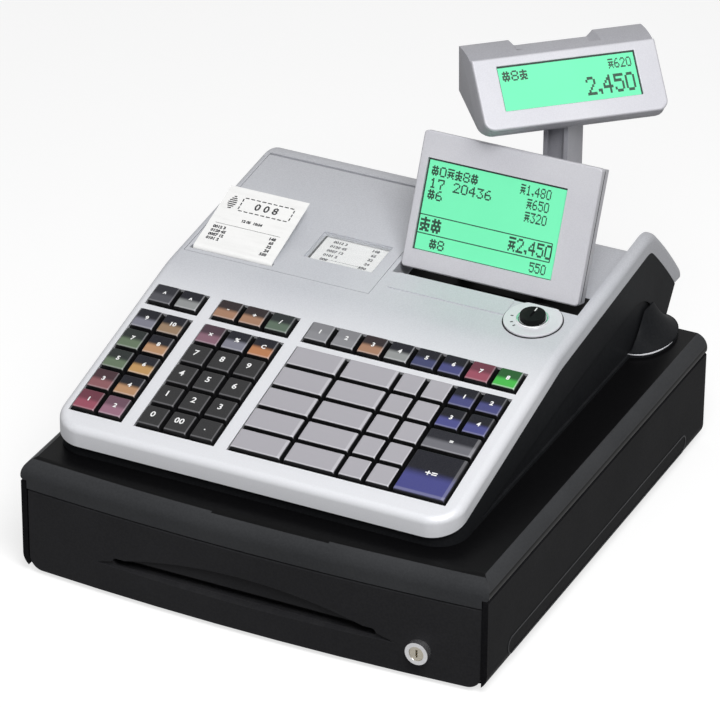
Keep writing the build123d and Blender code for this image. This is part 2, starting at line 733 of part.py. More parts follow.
with BuildPart() as base_case:
    with BuildSketch(Plane.YZ.offset(case_left)):
        add(casing_side(base_inset, base_front, deck_height, foot_rear_y))
    extrude(amount=case_right - case_left)
    with BuildSketch(Plane.XY):
        add(casing_plan(0, base_front, tail_y + cover_corner))
    extrude(amount=2 * crown_z, mode=Mode.INTERSECT)
    with BuildSketch(Plane.XY.offset(deck_height)):
        with Locations((case_right - side_recess, lobe_y)):
            Ellipse(lobe_reach + side_recess, lobe_length / 2)
    extrude(amount=lobe_rim)
    with BuildSketch(Plane.XY.offset(deck_height + lobe_rim)):
        with Locations((case_right - side_recess, lobe_y)):
            Ellipse(lobe_reach + side_recess - 1, lobe_length / 2 - 1)
    with BuildSketch(Plane.XY.offset(deck_height + lobe_rim + lobe_rise / 3)):
        with Locations((case_right - side_recess, lobe_y)):
            Ellipse(lobe_reach / 2 + side_recess, lobe_length / 2 - lobe_rise / 2)
    with BuildSketch(Plane.XY.offset(deck_height + lobe_rim + lobe_rise)):
        with Locations((case_right - side_recess, lobe_y)):
            Ellipse(side_recess + 1, lobe_length / 2 - lobe_rise)
    loft()
    for side, x in ((-1, case_left), (1, case_right)):
        with BuildSketch(Plane.YZ.offset(x)):
            with BuildLine():
                recess_low = deck_height + base_wall
                start = (base_front + 2 * cover_corner, recess_low)
                bend_low = (bend_y, bend_z - recess_drop)
                top_low = (recess_top_y, bend_low[1] + (recess_top_y - bend_y) * slope(deck_tilt))
                front_top = (start[0], max(bend_low[1] - (bend_y - start[0]) * slope(keyboard_tilt), recess_low + 1))
                arched = TangentArc(top_low, (recess_rear_y, recess_low), tangent=(1, slope(deck_tilt)))
                Polyline(arched @ 1, start, front_top, bend_low, top_low)
            make_face()
        extrude(amount=-side * side_recess, mode=Mode.SUBTRACT)
    add(base_hollow.part, mode=Mode.SUBTRACT)
    with BuildSketch(Plane.YZ.offset(bay_left - cover_wall - cover_seam)):
        with Locations((tail_y, crown_z)):
            Rectangle(2 * (tail_y - crown_y + crown_radius), 200)
        add(casing_side(bay_depth + cover_wall + cover_seam, cover_front, 0, tail_y - bay_depth),
            mode=Mode.SUBTRACT)
    extrude(amount=bay_right - bay_left + 2 * (cover_wall + cover_seam), mode=Mode.SUBTRACT)
    with BuildSketch(gland_plane):
        Circle(gland_radius)
    extrude(amount=-4 * base_wall, mode=Mode.SUBTRACT)
save(base_case, "base_case")

# Transformer on the casing's floor: laminated core on a footed strap, winding through its window.
floor_top = deck_height + base_wall
with BuildPart() as power_transformer:
    with BuildSketch(Plane.XY.offset(floor_top)):
        with Locations((core_x, core_y)):
            Rectangle(core_width + 20, core_depth - 8)
    extrude(amount=1.5)
    with BuildSketch(Plane.XY.offset(floor_top)):
        with Locations((core_x, core_y)):
            Rectangle(core_width, core_depth)
    extrude(amount=core_height)
    chamfer(power_transformer.edges().filter_by(Axis.Y).group_by(Axis.Z)[-1], 1.5)
    with BuildSketch(Plane.XY.offset(floor_top + core_height / 5)):
        with Locations((core_x, core_y)):
            Rectangle(winding_width, winding_depth)
    extrude(amount=3 * core_height / 5)
save(power_transformer, "power_transformer")

# Empty gland for the mains lead in the sloping rear wall.
with BuildPart() as cord_gland:
    with BuildSketch(gland_plane):
        RegularPolygon(gland_radius + gland_flange, 6)
    extrude(amount=gland_flange)
    with BuildSketch(gland_plane):
        Circle(gland_radius - running_gap)
    extrude(amount=-base_wall - 2 * gland_flange)
    with BuildSketch(gland_plane.offset(gland_flange)):
        Circle(gland_bore)
    extrude(amount=-2 * base_wall - 4 * gland_flange, mode=Mode.SUBTRACT)
save(cord_gland, "cord_gland")

# ---------------------------------------------------------------- keyboard
bed_left = left_bank - key_pitch - 2
bed_right = right_bank + 4 * key_pitch + 2
bed_low = first_row - 2.5
bed_high = top_row + top_row_depth + 3
row_middles = [first_row + (row + 0.5) * row_pitch for row in range(rows)]
top_middle = top_row + top_row_depth / 2


def bank_columns(bank_x, columns):
    """Centres of a bank's key columns."""
    return [bank_x + (column - (columns - 1) / 2) * key_pitch for column in range(columns)]


left_columns = bank_columns(left_bank, 2)
number_columns = bank_columns(number_bank, 3)
right_columns = bank_columns(right_bank, 8)
wide_columns = [(right_columns[0] + right_columns[1]) / 2, (right_columns[2] + right_columns[3]) / 2]
tender_x = (right_columns[6] + right_columns[7]) / 2
total_v = (row_middles[0] + row_middles[1]) / 2

# Each group of keys: node name, width and depth in key units, and the centres of its keys.
key_groups = {
    "keys_department": (2, 1, [(x, v) for x in wide_columns for v in row_middles]),
    "keys_item": (1, 1, [(x, v) for x in right_columns[4:6] for v in row_middles]),
    "keys_payment": (1, 1, [(x, v) for x in right_columns[6:] for v in row_middles[3:]]),
    "key_subtotal": (2, 1, [(tender_x, row_middles[2])]),
    "key_total": (2, 2, [(tender_x, total_v)]),
    "keys_clerk": (1, 1, [(x, v) for x in left_columns for v in row_middles]),
    "keys_multiplier": (1, 1, [(x, row_middles[4]) for x in number_columns]),
    "keys_number": (1, 1, [(x, v) for x in number_columns for v in row_middles[1:4]]),
    "keys_zero": (1, 1, [(x, row_middles[0]) for x in number_columns]),
    "keys_paper_feed": (1, 0, [(x, top_middle) for x in left_columns]),
    "keys_correction": (1, 0, [(x, top_middle) for x in number_columns]),
    "keys_function": (1, 0, [(x, top_middle) for x in right_columns]),
}
key_centres = [centre for _, _, centres in key_groups.values() for centre in centres]


def key_depth(units):
    """Depth of a key: whole rows, or the shallower top row."""
    return units * row_pitch if units else top_row_depth


with BuildPart() as key_bed:
    with BuildSketch(key_plane.offset(-bed_drop - bed_wall)):
        with Locations(((bed_left + bed_right) / 2, (bed_low + bed_high) / 2)):
            Rectangle(bed_right - bed_left, bed_high - bed_low)
    extrude(amount=bed_wall)
    with BuildSketch(key_plane.offset(-bed_drop)):
        with Locations(((bed_left + bed_right) / 2, (bed_low + bed_high) / 2)):
            Rectangle(bed_right - bed_left, bed_high - bed_low)
            Rectangle(bed_right - bed_left - 2.4, bed_high - bed_low - 2.4, mode=Mode.SUBTRACT)
    extrude(amount=bed_drop - cover_wall)
    with BuildSketch(key_plane.offset(-bed_drop)):
        with Locations(*key_centres):
            Rectangle(stem_size + 2 * stem_gap, stem_size + 2 * stem_gap)
    extrude(amount=-bed_wall, mode=Mode.SUBTRACT)
    with BuildSketch(key_plane.offset(-bed_drop - bed_wall)):
        for boss_x in (left_bank + key_pitch + 7, number_bank + 1.5 * key_pitch + 6):
            with Locations((boss_x, first_row + row_pitch), (boss_x, top_row - 3)):
                Rectangle(boss_side, boss_side)
    extrude(amount=-(board_drop - bed_drop - bed_wall))
save(key_bed, "key_bed")

for name, (columns, depth_units, centres) in key_groups.items():
    with BuildPart() as key_group:
        with BuildSketch(key_plane.offset(-key_sink)):
            with Locations(*centres):
                Rectangle(columns * key_pitch - key_gap, key_depth(depth_units) - key_gap)
        extrude(amount=key_sink + key_rise, taper=key_taper)
        with BuildSketch(key_plane.offset(-key_sink)):
            with Locations(*centres):
                Rectangle(stem_size, stem_size)
        extrude(amount=-(bed_drop + bed_wall - key_sink + 1))
    save(key_group, name)

with BuildPart() as main_board:
    with BuildSketch(key_plane.offset(-board_drop)):
        with Locations(((bed_left + bed_right) / 2 + 2, (bed_low + bed_high) / 2 + 2)):
            Rectangle(bed_right - bed_left - 12, bed_high - bed_low - 8)
    extrude(amount=-board_wall)
save(main_board, "main_board")

# ---------------------------------------------------------------- printers under their lid
lid_front = deck_length(printer_front)
lid_width = printer_right - printer_left
lid_x = (printer_left + printer_right) / 2
with BuildPart() as printer_cover:
    with BuildSketch(deck_plane):
        with Locations((lid_x, (lid_front + lid_rear - hinge_radius) / 2)):
            Rectangle(lid_width, lid_rear - hinge_radius - lid_front)
    extrude(amount=-lid_wall)
    with BuildSketch(deck_plane.offset(-lid_wall)):
        with Locations((lid_x, (lid_front + lid_rear) / 2 - 12)):
            Rectangle(lid_width, lid_rear - lid_front - 24)
            Rectangle(lid_width - 4, lid_rear - lid_front - 28, mode=Mode.SUBTRACT)
    extrude(amount=-lid_skirt)
    with BuildSketch(across(printer_left, lid_axis.Y, lid_axis.Z)):
        Circle(hinge_radius)
    extrude(amount=lid_width)
    with BuildSketch(across(printer_left - pin_boss, lid_axis.Y, lid_axis.Z)):
        Circle(hinge_pin)
    extrude(amount=lid_width + 2 * pin_boss)
    with BuildSketch(deck_plane):
        with Locations((receipt_x, deck_length(slot_y))):
            Rectangle(receipt_width + 3, slot_gap)
        with Locations((journal_x, deck_length(window_y))):
            Rectangle(journal_width - 2 * window_ledge, window_length - 2 * window_ledge)
    extrude(amount=2 * lid_wall, both=True, mode=Mode.SUBTRACT)
    with BuildSketch(deck_plane):
        with Locations((journal_x, deck_length(window_y))):
            Rectangle(journal_width, window_length)
    extrude(amount=-(lid_wall - 1), mode=Mode.SUBTRACT)
save(printer_cover, "printer_cover")

with BuildPart() as journal_window:
    with BuildSketch(deck_plane.offset(-(lid_wall - 1))):
        with Locations((journal_x, deck_length(window_y))):
            Rectangle(journal_width - 0.4, window_length - 0.4)
    extrude(amount=pane_wall)
save(journal_window, "journal_window")


def deck_height_at(y):
    """Height of the rear deck's surface."""
    return bend_z + (y - bend_y) * slope(deck_tilt)


# The printed receipt leans on the slot's rear edge and rises towards the back.
sheet_start = (slot_y + slot_gap / 2 - 1.8, deck_height_at(slot_y) - 2)
sheet_bend = (slot_y + slot_gap / 2 + 1.2, deck_height_at(slot_y) + 1.2)
sheet_end = (slot_y + sheet_length, deck_height_at(slot_y + sheet_length) + sheet_lift)
with BuildPart() as receipt_paper:
    with BuildSketch(Plane.YZ.offset(receipt_x - receipt_width / 2)):
        with BuildLine():
            curl = TangentArc(sheet_start, sheet_bend, tangent=(0.25, 1))
            TangentArc(sheet_bend, sheet_end, tangent=curl % 1)
            offset(amount=paper_wall / 2, side=Side.BOTH)
        make_face()
    extrude(amount=receipt_width)
save(receipt_paper, "receipt_paper")

cheek_front = printer_front + 4
roll_y = printer_front + 100
roll_z = floor_top + cheek_wall + roll_radius + 3
platen_y = slot_y + 10
platen_z = deck_height_at(slot_y) - 17
reel_y = platen_y + 26
reel_z = platen_z - 3


def build_printer(centre_x, paper_width, axles):
    """Printer chassis: two cheeks with axle holes, a base plate, the print head and the roll spindle."""
    cheek_gap = paper_width + 3
    with BuildPart() as chassis:
        for side in (-1, 1):
            with BuildSketch(Plane.YZ.offset(centre_x + side * cheek_gap / 2)):
                with BuildLine():
                    Polyline((cheek_front, floor_top), (roll_y + 14, floor_top), (roll_y + 14, roll_z + 10),
                             (roll_y - 12, roll_z + 10), (reel_y + 16, deck_height_at(reel_y + 16) - cheek_drop),
                             (cheek_front, deck_height_at(cheek_front) - cheek_drop), close=True)
                make_face()
                with Locations(*axles):
                    Circle(axle_radius + running_gap, mode=Mode.SUBTRACT)
            extrude(amount=side * cheek_wall)
        with BuildSketch(Plane.XY.offset(floor_top)):
            with Locations((centre_x, (cheek_front + roll_y + 14) / 2)):
                Rectangle(cheek_gap, roll_y + 14 - cheek_front)
        extrude(amount=cheek_wall)
        with BuildSketch(Plane.YZ.offset(centre_x - cheek_gap / 2)):
            with Locations(((cheek_front + platen_y - platen_radius) / 2 - 0.4, platen_z)):
                Rectangle(platen_y - platen_radius - cheek_front - 1, 18)
            with Locations((roll_y, roll_z)):
                Circle(core_radius - running_gap)
        extrude(amount=cheek_gap)
    return chassis


def build_turning(centre_x, length, centre_y, centre_z, outer, inner, axle):
    """A roller or roll across the printer: hollow on a spindle, or solid on its own axle."""
    with BuildPart() as turning:
        with BuildSketch(across(centre_x - length / 2, centre_y, centre_z)):
            Circle(outer)
            if inner:
                Circle(inner, mode=Mode.SUBTRACT)
        extrude(amount=length)
        if axle:
            reach = length + 2 * cheek_wall + 3
            with BuildSketch(across(centre_x - reach / 2, centre_y, centre_z)):
                Circle(axle)
            extrude(amount=reach)
    return turning


receipt_printer = build_printer(receipt_x, receipt_width, [(platen_y, platen_z)])
save(receipt_printer, "receipt_printer")
journal_printer = build_printer(journal_x, journal_width, [(platen_y, platen_z), (reel_y, reel_z)])
save(journal_printer, "journal_printer")
for name, x, width in (("receipt", receipt_x, receipt_width), ("journal", journal_x, journal_width)):
    save(build_turning(x, width, platen_y, platen_z, platen_radius, 0, axle_radius), f"{name}_platen")
    save(build_turning(x, width, roll_y, roll_z, roll_radius, core_radius, 0), f"{name}_roll")
save(build_turning(journal_x, journal_width, reel_y, reel_z, reel_radius, 0, axle_radius), "takeup_reel")

# Strip of the journal paper shown under the window, over a guide between the cheeks.
with BuildPart() as journal_paper:
    with BuildSketch(deck_plane.offset(-lid_wall - 1.3)):
        with Locations((journal_x, deck_length(window_y))):
            Rectangle(journal_width - 6, window_length + 2)
    extrude(amount=-0.3)
save(journal_paper, "journal_paper")

with BuildPart() as paper_guide:
    with BuildSketch(deck_plane.offset(-lid_wall - 1.6)):
        with Locations((journal_x, deck_length(window_y))):
            Rectangle(journal_width + 3 + 2 * cheek_wall, window_length - 4)
    extrude(amount=-1)
    with BuildSketch(deck_plane.offset(-lid_wall - 2.6)):
        for side in (-1, 1):
            with Locations((journal_x + side * (journal_width + 3 + cheek_wall) / 2, deck_length(window_y) - 8)):
                Rectangle(cheek_wall, window_length - 20)
    extrude(amount=-(cheek_drop * cos(radians(deck_tilt)) - lid_wall - 2.6))
save(paper_guide, "paper_guide")

# ---------------------------------------------------------------- clerk's display
screen_plane = Plane(origin=(screen_left, screen_y, screen_z), x_dir=(1, 0, 0),
                     z_dir=(0, -sin(radians(screen_tilt)), cos(radians(screen_tilt))))
screen_axis = screen_plane.from_local_coords(Vector(screen_width / 2, barrel_up, -barrel_back))
lcd_x = screen_lcd_left + screen_lcd_width / 2
lcd_v = screen_lcd_base + screen_lcd_length / 2
with BuildPart() as display_bezel:
    with BuildSketch(screen_plane.offset(-bezel_depth)):
        with Locations((screen_width / 2, screen_length / 2)):
            RectangleRounded(screen_width, screen_length, screen_corner)
    extrude(amount=bezel_depth)
    chamfer(display_bezel.faces().sort_by(Axis.Y)[0].edges(), 1)
    with BuildSketch(screen_plane.offset(-bezel_wall)):
        with Locations((screen_width / 2, screen_length / 2)):
            Rectangle(screen_width - 2 * bezel_wall, screen_length - 2 * bezel_wall)
    extrude(amount=-bezel_depth, mode=Mode.SUBTRACT)
    with BuildSketch(screen_plane):
        with Locations((lcd_x, lcd_v)):
            Rectangle(screen_lcd_width, screen_lcd_length)
    extrude(amount=-bezel_depth, mode=Mode.SUBTRACT)
save(display_bezel, "display_bezel")

with BuildPart() as display_lcd:
    with BuildSketch(screen_plane.offset(-bezel_wall)):
        with Locations((lcd_x, lcd_v)):
            Rectangle(screen_lcd_width + 6, screen_lcd_length + 6)
    extrude(amount=-lcd_wall)
save(display_lcd, "display_lcd")

with BuildPart() as display_shell:
    with BuildSketch(screen_plane.offset(-bezel_depth)):
        with Locations((screen_width / 2, screen_length / 2)):
            Rectangle(screen_width - 2 * shell_step, screen_length - 2 * shell_step)
    extrude(amount=-(screen_thick - bezel_depth), taper=4)
    with BuildSketch(screen_plane.offset(-bezel_depth)):
        with Locations((screen_width / 2, screen_length / 2)):
            Rectangle(screen_width - 8, screen_length - 8)
    extrude(amount=-(screen_thick - bezel_depth - bezel_wall), mode=Mode.SUBTRACT)
    with BuildSketch(across(screen_axis.X - barrel_length / 2, screen_axis.Y, screen_axis.Z)):
        Circle(barrel_radius)
        with Locations((0, 0)):
            Rectangle(barrel_back - screen_thick + 3, 2 * barrel_radius - 1, rotation=screen_tilt - 90,
                      align=(Align.MAX, Align.CENTER))
    extrude(amount=barrel_length)
    with BuildSketch(across(screen_axis.X - barrel_length / 2, screen_axis.Y, screen_axis.Z)):
        Circle(ear_pin + running_gap)
    extrude(amount=barrel_length, mode=Mode.SUBTRACT)
save(display_shell, "display_shell")

# Two ears on the floor of the display bay carry the hinge pin.
with BuildPart() as display_bracket:
    ear_low = (screen_axis.Y - bracket_half, bay_floor_at(screen_axis.Y - bracket_half))
    ear_high = (screen_axis.Y + bracket_half, bay_floor_at(screen_axis.Y + bracket_half))
    for side in (-1, 1):
        with BuildSketch(Plane.YZ.offset(screen_axis.X + side * (barrel_length / 2 + 0.3))):
            with BuildLine():
                ear_front = screen_axis.Y - barrel_radius
                Polyline((ear_front, screen_axis.Z), (ear_front, bay_floor_at(ear_front)), ear_high,
                         (screen_axis.Y + barrel_radius, screen_axis.Z))
                ThreePointArc((screen_axis.Y + barrel_radius, screen_axis.Z),
                              (screen_axis.Y, screen_axis.Z + barrel_radius),
                              (screen_axis.Y - barrel_radius, screen_axis.Z))
            make_face()
        extrude(amount=side * ear_wall)
    with BuildSketch(Plane.YZ.offset(screen_axis.X - barrel_length / 2 - ear_wall)):
        with BuildLine():
            Polyline(ear_low, ear_high, (ear_high[0], ear_high[1] + bracket_wall),
                     (ear_low[0], ear_low[1] + bracket_wall), close=True)
        make_face()
        with Locations((screen_axis.Y, screen_axis.Z)):
            Circle(ear_pin)
    extrude(amount=barrel_length + 2 * ear_wall)
save(display_bracket, "display_bracket")

# ---------------------------------------------------------------- mode switch
with BuildPart() as mode_plate:
    with BuildSketch(deck_plane):
        with Locations((mode_x, deck_length(mode_y))):
            Circle(mode_radius)
            Circle(rotor_shaft + 1, mode=Mode.SUBTRACT)
        with Locations((mode_x, deck_length(bay_front) + mode_radius - 0.5)):
            Rectangle(3 * mode_radius, 2 * mode_radius, mode=Mode.SUBTRACT)
        with Locations((strip_left, deck_length(bay_front))):
            Rectangle(strip_right - strip_left + 0.3, 100, align=(Align.MIN, Align.CENTER), mode=Mode.SUBTRACT)
    extrude(amount=mode_rise)
    chamfer(mode_plate.faces().filter_by(GeomType.CYLINDER).sort_by(SortBy.AREA)[-1].edges().sort_by(Axis.Z)[-1:], 1)
save(mode_plate, "mode_plate")

with BuildPart() as mode_rotor:
    with BuildSketch(deck_plane.offset(mode_rise)):
        with Locations((mode_x, deck_length(mode_y))):
            Circle(rotor_radius)
    extrude(amount=rotor_rise)
    with BuildSketch(deck_plane.offset(mode_rise + rotor_rise - 1.5)):
        with Locations((mode_x, deck_length(mode_y))):
            Rectangle(1.6, 9)
    extrude(amount=3, mode=Mode.SUBTRACT)
    with BuildSketch(deck_plane.offset(mode_rise)):
        with Locations((mode_x, deck_length(mode_y))):
            Circle(rotor_shaft + 1 - running_gap)
    extrude(amount=-(mode_rise + 2 * cover_wall))
save(mode_rotor, "mode_rotor")

# ---------------------------------------------------------------- customer's display
turn = radians(head_turn)
across_head = Vector(cos(turn), sin(turn), 0)
behind_head = Vector(-sin(turn), cos(turn), 0)
head_origin = Vector(mast_x, mast_y, head_height) - behind_head * head_pivot
head_side = Plane(origin=head_origin - across_head * (head_width / 2), x_dir=behind_head, z_dir=across_head)
lean = radians(head_lean)
face_normal = Vector(0, 0, sin(lean)) - behind_head * cos(lean)
head_face = Plane(origin=head_origin, x_dir=across_head, z_dir=face_normal)


def on_face(up, back):
    """Point of the head's side view, given up its face and back from it."""
    return (up * sin(lean) + back * cos(lean), up * cos(lean) - back * sin(lean))


def head_outline(wall):
    """Side view of the customer display's rear shell, drawn in by a wall on all sides but the front."""
    with BuildSketch() as side:
        with BuildLine():
            low = on_face(wall - face_below, head_bezel_wall)
            high = on_face(face_above - wall, head_bezel_wall)
            Line(low, high)
            ridge = (head_back + 2 - wall, head_ridge - wall)
            TangentArc(high, ridge, tangent=(1, 0.3))
            Polyline(ridge, (head_back - wall, wall - 9), (head_pivot, wall - 15))
            TangentArc((head_pivot, wall - 15), low, tangent=(-1, -0.12))
        make_face()
    return side.sketch


neck_drop = 3
neck_low = head_height - face_below - neck_drop
with BuildPart() as head_hollow:
    with BuildSketch(head_side.offset(head_wall)):
        add(head_outline(head_wall))
    extrude(amount=head_width - 2 * head_wall)
    with BuildSketch(head_side.offset(head_width / 2 - notch_half - head_wall)):
        with Locations((head_back - notch_depth, head_ridge - notch_depth)):
            Rectangle(3 * notch_depth, 3 * notch_depth, align=(Align.MIN, Align.MIN))
    extrude(amount=2 * (notch_half + head_wall), mode=Mode.SUBTRACT)

with BuildPart() as head_shell:
    with BuildSketch(head_side):
        add(head_outline(0))
    extrude(amount=head_width)
    with BuildSketch(head_face.offset(-2 * head_back)) as corners:
        with Locations((0, head_back - face_below)):
            Rectangle(head_width, 2 * head_back + 1)
        fillet(corners.vertices().group_by(Axis.Y)[0], head_corner)
    extrude(amount=2 * head_back, mode=Mode.INTERSECT)
    add(head_hollow.part, mode=Mode.SUBTRACT)
    with BuildSketch(head_side.offset(head_width / 2 - notch_half)):
        with Locations((head_back - notch_depth + head_wall, head_ridge - notch_depth + head_wall)):
            Rectangle(3 * notch_depth, 3 * notch_depth, align=(Align.MIN, Align.MIN))
    extrude(amount=2 * notch_half, mode=Mode.SUBTRACT)
    with BuildSketch(Plane.XY.offset(neck_low)):
        with Locations((mast_x, mast_y)):
            Circle(neck_radius)
    extrude(amount=neck_drop + neck_height)
    with BuildSketch(Plane.XY.offset(neck_low)):
        with Locations((mast_x, mast_y)):
            Circle(spindle_radius + running_gap)
    extrude(amount=spindle_height + 1, mode=Mode.SUBTRACT)
save(head_shell, "head_shell")

with BuildPart() as head_bezel:
    with BuildSketch(head_face.offset(-head_bezel_wall)) as bezel_face:
        with Locations((0, (face_above - face_below) / 2)):
            Rectangle(head_width, face_above + face_below)
        fillet(bezel_face.vertices().group_by(Axis.Y)[0], head_corner)
    extrude(amount=head_bezel_wall)
    chamfer(head_bezel.faces().sort_by(Axis(head_origin, face_normal))[-1].edges(), 1)
    with BuildSketch(head_face):
        with Locations((0, head_lcd_length / 2)):
            Rectangle(head_lcd_width, head_lcd_length)
    extrude(amount=-head_bezel_wall, mode=Mode.SUBTRACT)
    with BuildSketch(head_face.offset(-1.5)):
        with Locations((0, head_lcd_length / 2)):
            Rectangle(head_lcd_width + 3, head_lcd_length + 3)
    extrude(amount=-head_bezel_wall, mode=Mode.SUBTRACT)
save(head_bezel, "head_bezel")

with BuildPart() as head_lcd:
    with BuildSketch(head_face.offset(-1.5)):
        with Locations((0, head_lcd_length / 2)):
            Rectangle(head_lcd_width + 2.6, head_lcd_length + 2.6)
    extrude(amount=-(head_bezel_wall - 1.5))
save(head_lcd, "head_lcd")

# Square mast with a channel in its front face; the head turns on its spindle.
mast_top = neck_low - mast_clearance
with BuildPart() as mast:
    with BuildSketch(Plane.XY.offset(mast_foot)):
        with Locations((mast_x, mast_y)):
            Rectangle(mast_width, mast_depth)
            Rectangle(mast_width - 2 * mast_wall, mast_depth - 2 * mast_wall, mode=Mode.SUBTRACT)
        with Locations((mast_x, mast_y - mast_depth / 2)):
            Rectangle(mast_channel, 2 * channel_depth, mode=Mode.SUBTRACT)
    extrude(amount=mast_top - mast_foot)
    with BuildSketch(Plane.XY.offset(mast_foot)):
        with Locations((mast_x, mast_y - mast_depth / 2 + channel_depth + mast_wall / 2)):
            Rectangle(mast_width, mast_wall)
    extrude(amount=mast_top - mast_foot)
    with BuildSketch(Plane.XY.offset(mast_top - mast_cap)):
        with Locations((mast_x, mast_y)):
            Rectangle(mast_width, mast_depth)
    extrude(amount=mast_cap)
    with BuildSketch(Plane.XY.offset(mast_top)):
        with Locations((mast_x, mast_y)):
            Circle(spindle_radius)
    extrude(amount=spindle_height)
save(mast, "mast")

sleeve_low = mast_foot - mast_stroke - 2
with BuildPart() as mast_sleeve:
    with BuildSketch(Plane.XY.offset(sleeve_low)):
        with Locations((mast_x, mast_y)):
            Rectangle(sleeve_width - 2 * sleeve_gap, sleeve_depth - 2 * sleeve_gap)
            Rectangle(mast_width + 2 * sleeve_gap, mast_depth + 2 * sleeve_gap, mode=Mode.SUBTRACT)
    extrude(amount=bay_floor_at(mast_y) + collar_height - sleeve_low)
    with BuildSketch(Plane.XY.offset(sleeve_low)):
        with Locations((mast_x, mast_y)):
            Rectangle(sleeve_width + 2 * collar_wall, sleeve_depth + 2 * collar_wall)
            Rectangle(sleeve_width - 2 * sleeve_gap, sleeve_depth - 2 * sleeve_gap, mode=Mode.SUBTRACT)
    extrude(amount=3)
save(mast_sleeve, "mast_sleeve")
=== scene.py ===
import json
from math import cos, pi, radians, sin, tan

import bmesh
import bpy
from mathutils import Matrix, Vector
from mathutils.bvhtree import BVHTree

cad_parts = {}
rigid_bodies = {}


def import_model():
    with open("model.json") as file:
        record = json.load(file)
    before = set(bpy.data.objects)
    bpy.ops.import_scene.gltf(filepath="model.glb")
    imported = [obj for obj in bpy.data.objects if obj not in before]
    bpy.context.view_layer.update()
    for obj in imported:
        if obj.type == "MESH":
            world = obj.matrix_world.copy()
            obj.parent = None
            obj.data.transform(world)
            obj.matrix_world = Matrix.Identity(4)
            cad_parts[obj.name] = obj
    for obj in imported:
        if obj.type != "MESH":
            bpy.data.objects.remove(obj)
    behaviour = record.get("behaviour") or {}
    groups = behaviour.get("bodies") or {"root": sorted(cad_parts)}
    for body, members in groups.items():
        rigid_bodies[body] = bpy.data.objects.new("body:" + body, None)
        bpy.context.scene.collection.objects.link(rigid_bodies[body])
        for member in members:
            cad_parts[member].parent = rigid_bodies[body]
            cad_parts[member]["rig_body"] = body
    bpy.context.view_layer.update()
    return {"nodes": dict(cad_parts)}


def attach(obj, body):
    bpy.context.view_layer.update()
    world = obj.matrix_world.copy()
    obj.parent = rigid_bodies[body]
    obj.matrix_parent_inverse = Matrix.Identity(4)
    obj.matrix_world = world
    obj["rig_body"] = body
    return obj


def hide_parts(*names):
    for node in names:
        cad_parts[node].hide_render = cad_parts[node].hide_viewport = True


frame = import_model()
nodes = frame["nodes"]
scene = bpy.context.scene
mm = 0.001
print("frame loaded:", len(nodes), "nodes")


def paint(red, green, blue):  # screen values 0 to 255, as linear light
    return tuple(((value / 255 + 0.055) / 1.055) ** 2.4 for value in (red, green, blue)) + (1,)


class Wire:  # a socket that can be added, subtracted and multiplied
    def __init__(self, board, socket):
        self.board = board
        self.socket = socket

    def calc(self, operation, first, second):
        return self.board.node("ShaderNodeMath", {"operation": operation}, {0: first, 1: second})

    def __add__(self, other):
        return self.calc("ADD", self, other)

    def __radd__(self, other):
        return self.calc("ADD", other, self)

    def __sub__(self, other):
        return self.calc("SUBTRACT", self, other)

    def __rsub__(self, other):
        return self.calc("SUBTRACT", other, self)

    def __mul__(self, other):
        return self.calc("MULTIPLY", self, other)

    def __rmul__(self, other):
        return self.calc("MULTIPLY", other, self)

    def band(self, low, high):  # 0 below low, 1 above high, smooth between
        settings = {"interpolation_type": "SMOOTHSTEP", "clamp": True}
        return self.board.node("ShaderNodeMapRange", settings, {0: self, 1: low, 2: high})


class Board:  # one node tree
    def __init__(self, tree):
        self.tree = tree

    def node(self, kind, settings=None, values=None, out=0):
        made = self.tree.nodes.new(kind)
        for key, value in (settings or {}).items():
            setattr(made, key, value)
        for key, value in (values or {}).items():
            if isinstance(value, Wire):
                self.tree.links.new(value.socket, made.inputs[key])
            else:
                made.inputs[key].default_value = value
        return Wire(self, made.outputs[out]) if made.outputs else None

    def place(self, stretch=(1, 1, 1), turn=(0, 0, 0)):  # Object coordinates, in metres
        origin = self.node("ShaderNodeTexCoord", out=3)
        return self.node("ShaderNodeMapping", values={0: origin, 2: turn, 3: stretch})

    def noise(self, scale, detail=2, stretch=(1, 1, 1), turn=(0, 0, 0)):
        return self.node("ShaderNodeTexNoise", values={"Vector": self.place(stretch, turn), "Scale": scale,
                                                       "Detail": detail, "Roughness": 0.55})

    def mixed(self, factor, first, second):
        return self.node("ShaderNodeMix", {"data_type": "RGBA"}, {0: factor, 6: first, 7: second}, 2)

    def axis(self, vector, index):
        return self.node("ShaderNodeSeparateXYZ", values={0: vector}, out=index)


finishes = {}


def newShader(name):
    material = bpy.data.materials.new(name)
    material.use_nodes = True
    material.node_tree.nodes.clear()
    finishes[name] = material
    return Board(material.node_tree)


def newFinish(shader, colour, roughness, height, depth, metallic=0.0, **uniform):
    # depth is the bump's, in millimetres; uniform holds further sockets by name
    bump = shader.node("ShaderNodeBump", values={"Strength": 1.0, "Distance": depth * mm, "Height": height})
    values = {"Base Color": colour, "Roughness": roughness, "Metallic": metallic, "Normal": bump}
    values.update({key.replace("_", " "): value for key, value in uniform.items()})
    surface = shader.node("ShaderNodeBsdfPrincipled", values=values)
    shader.node("ShaderNodeOutputMaterial", values={"Surface": surface})


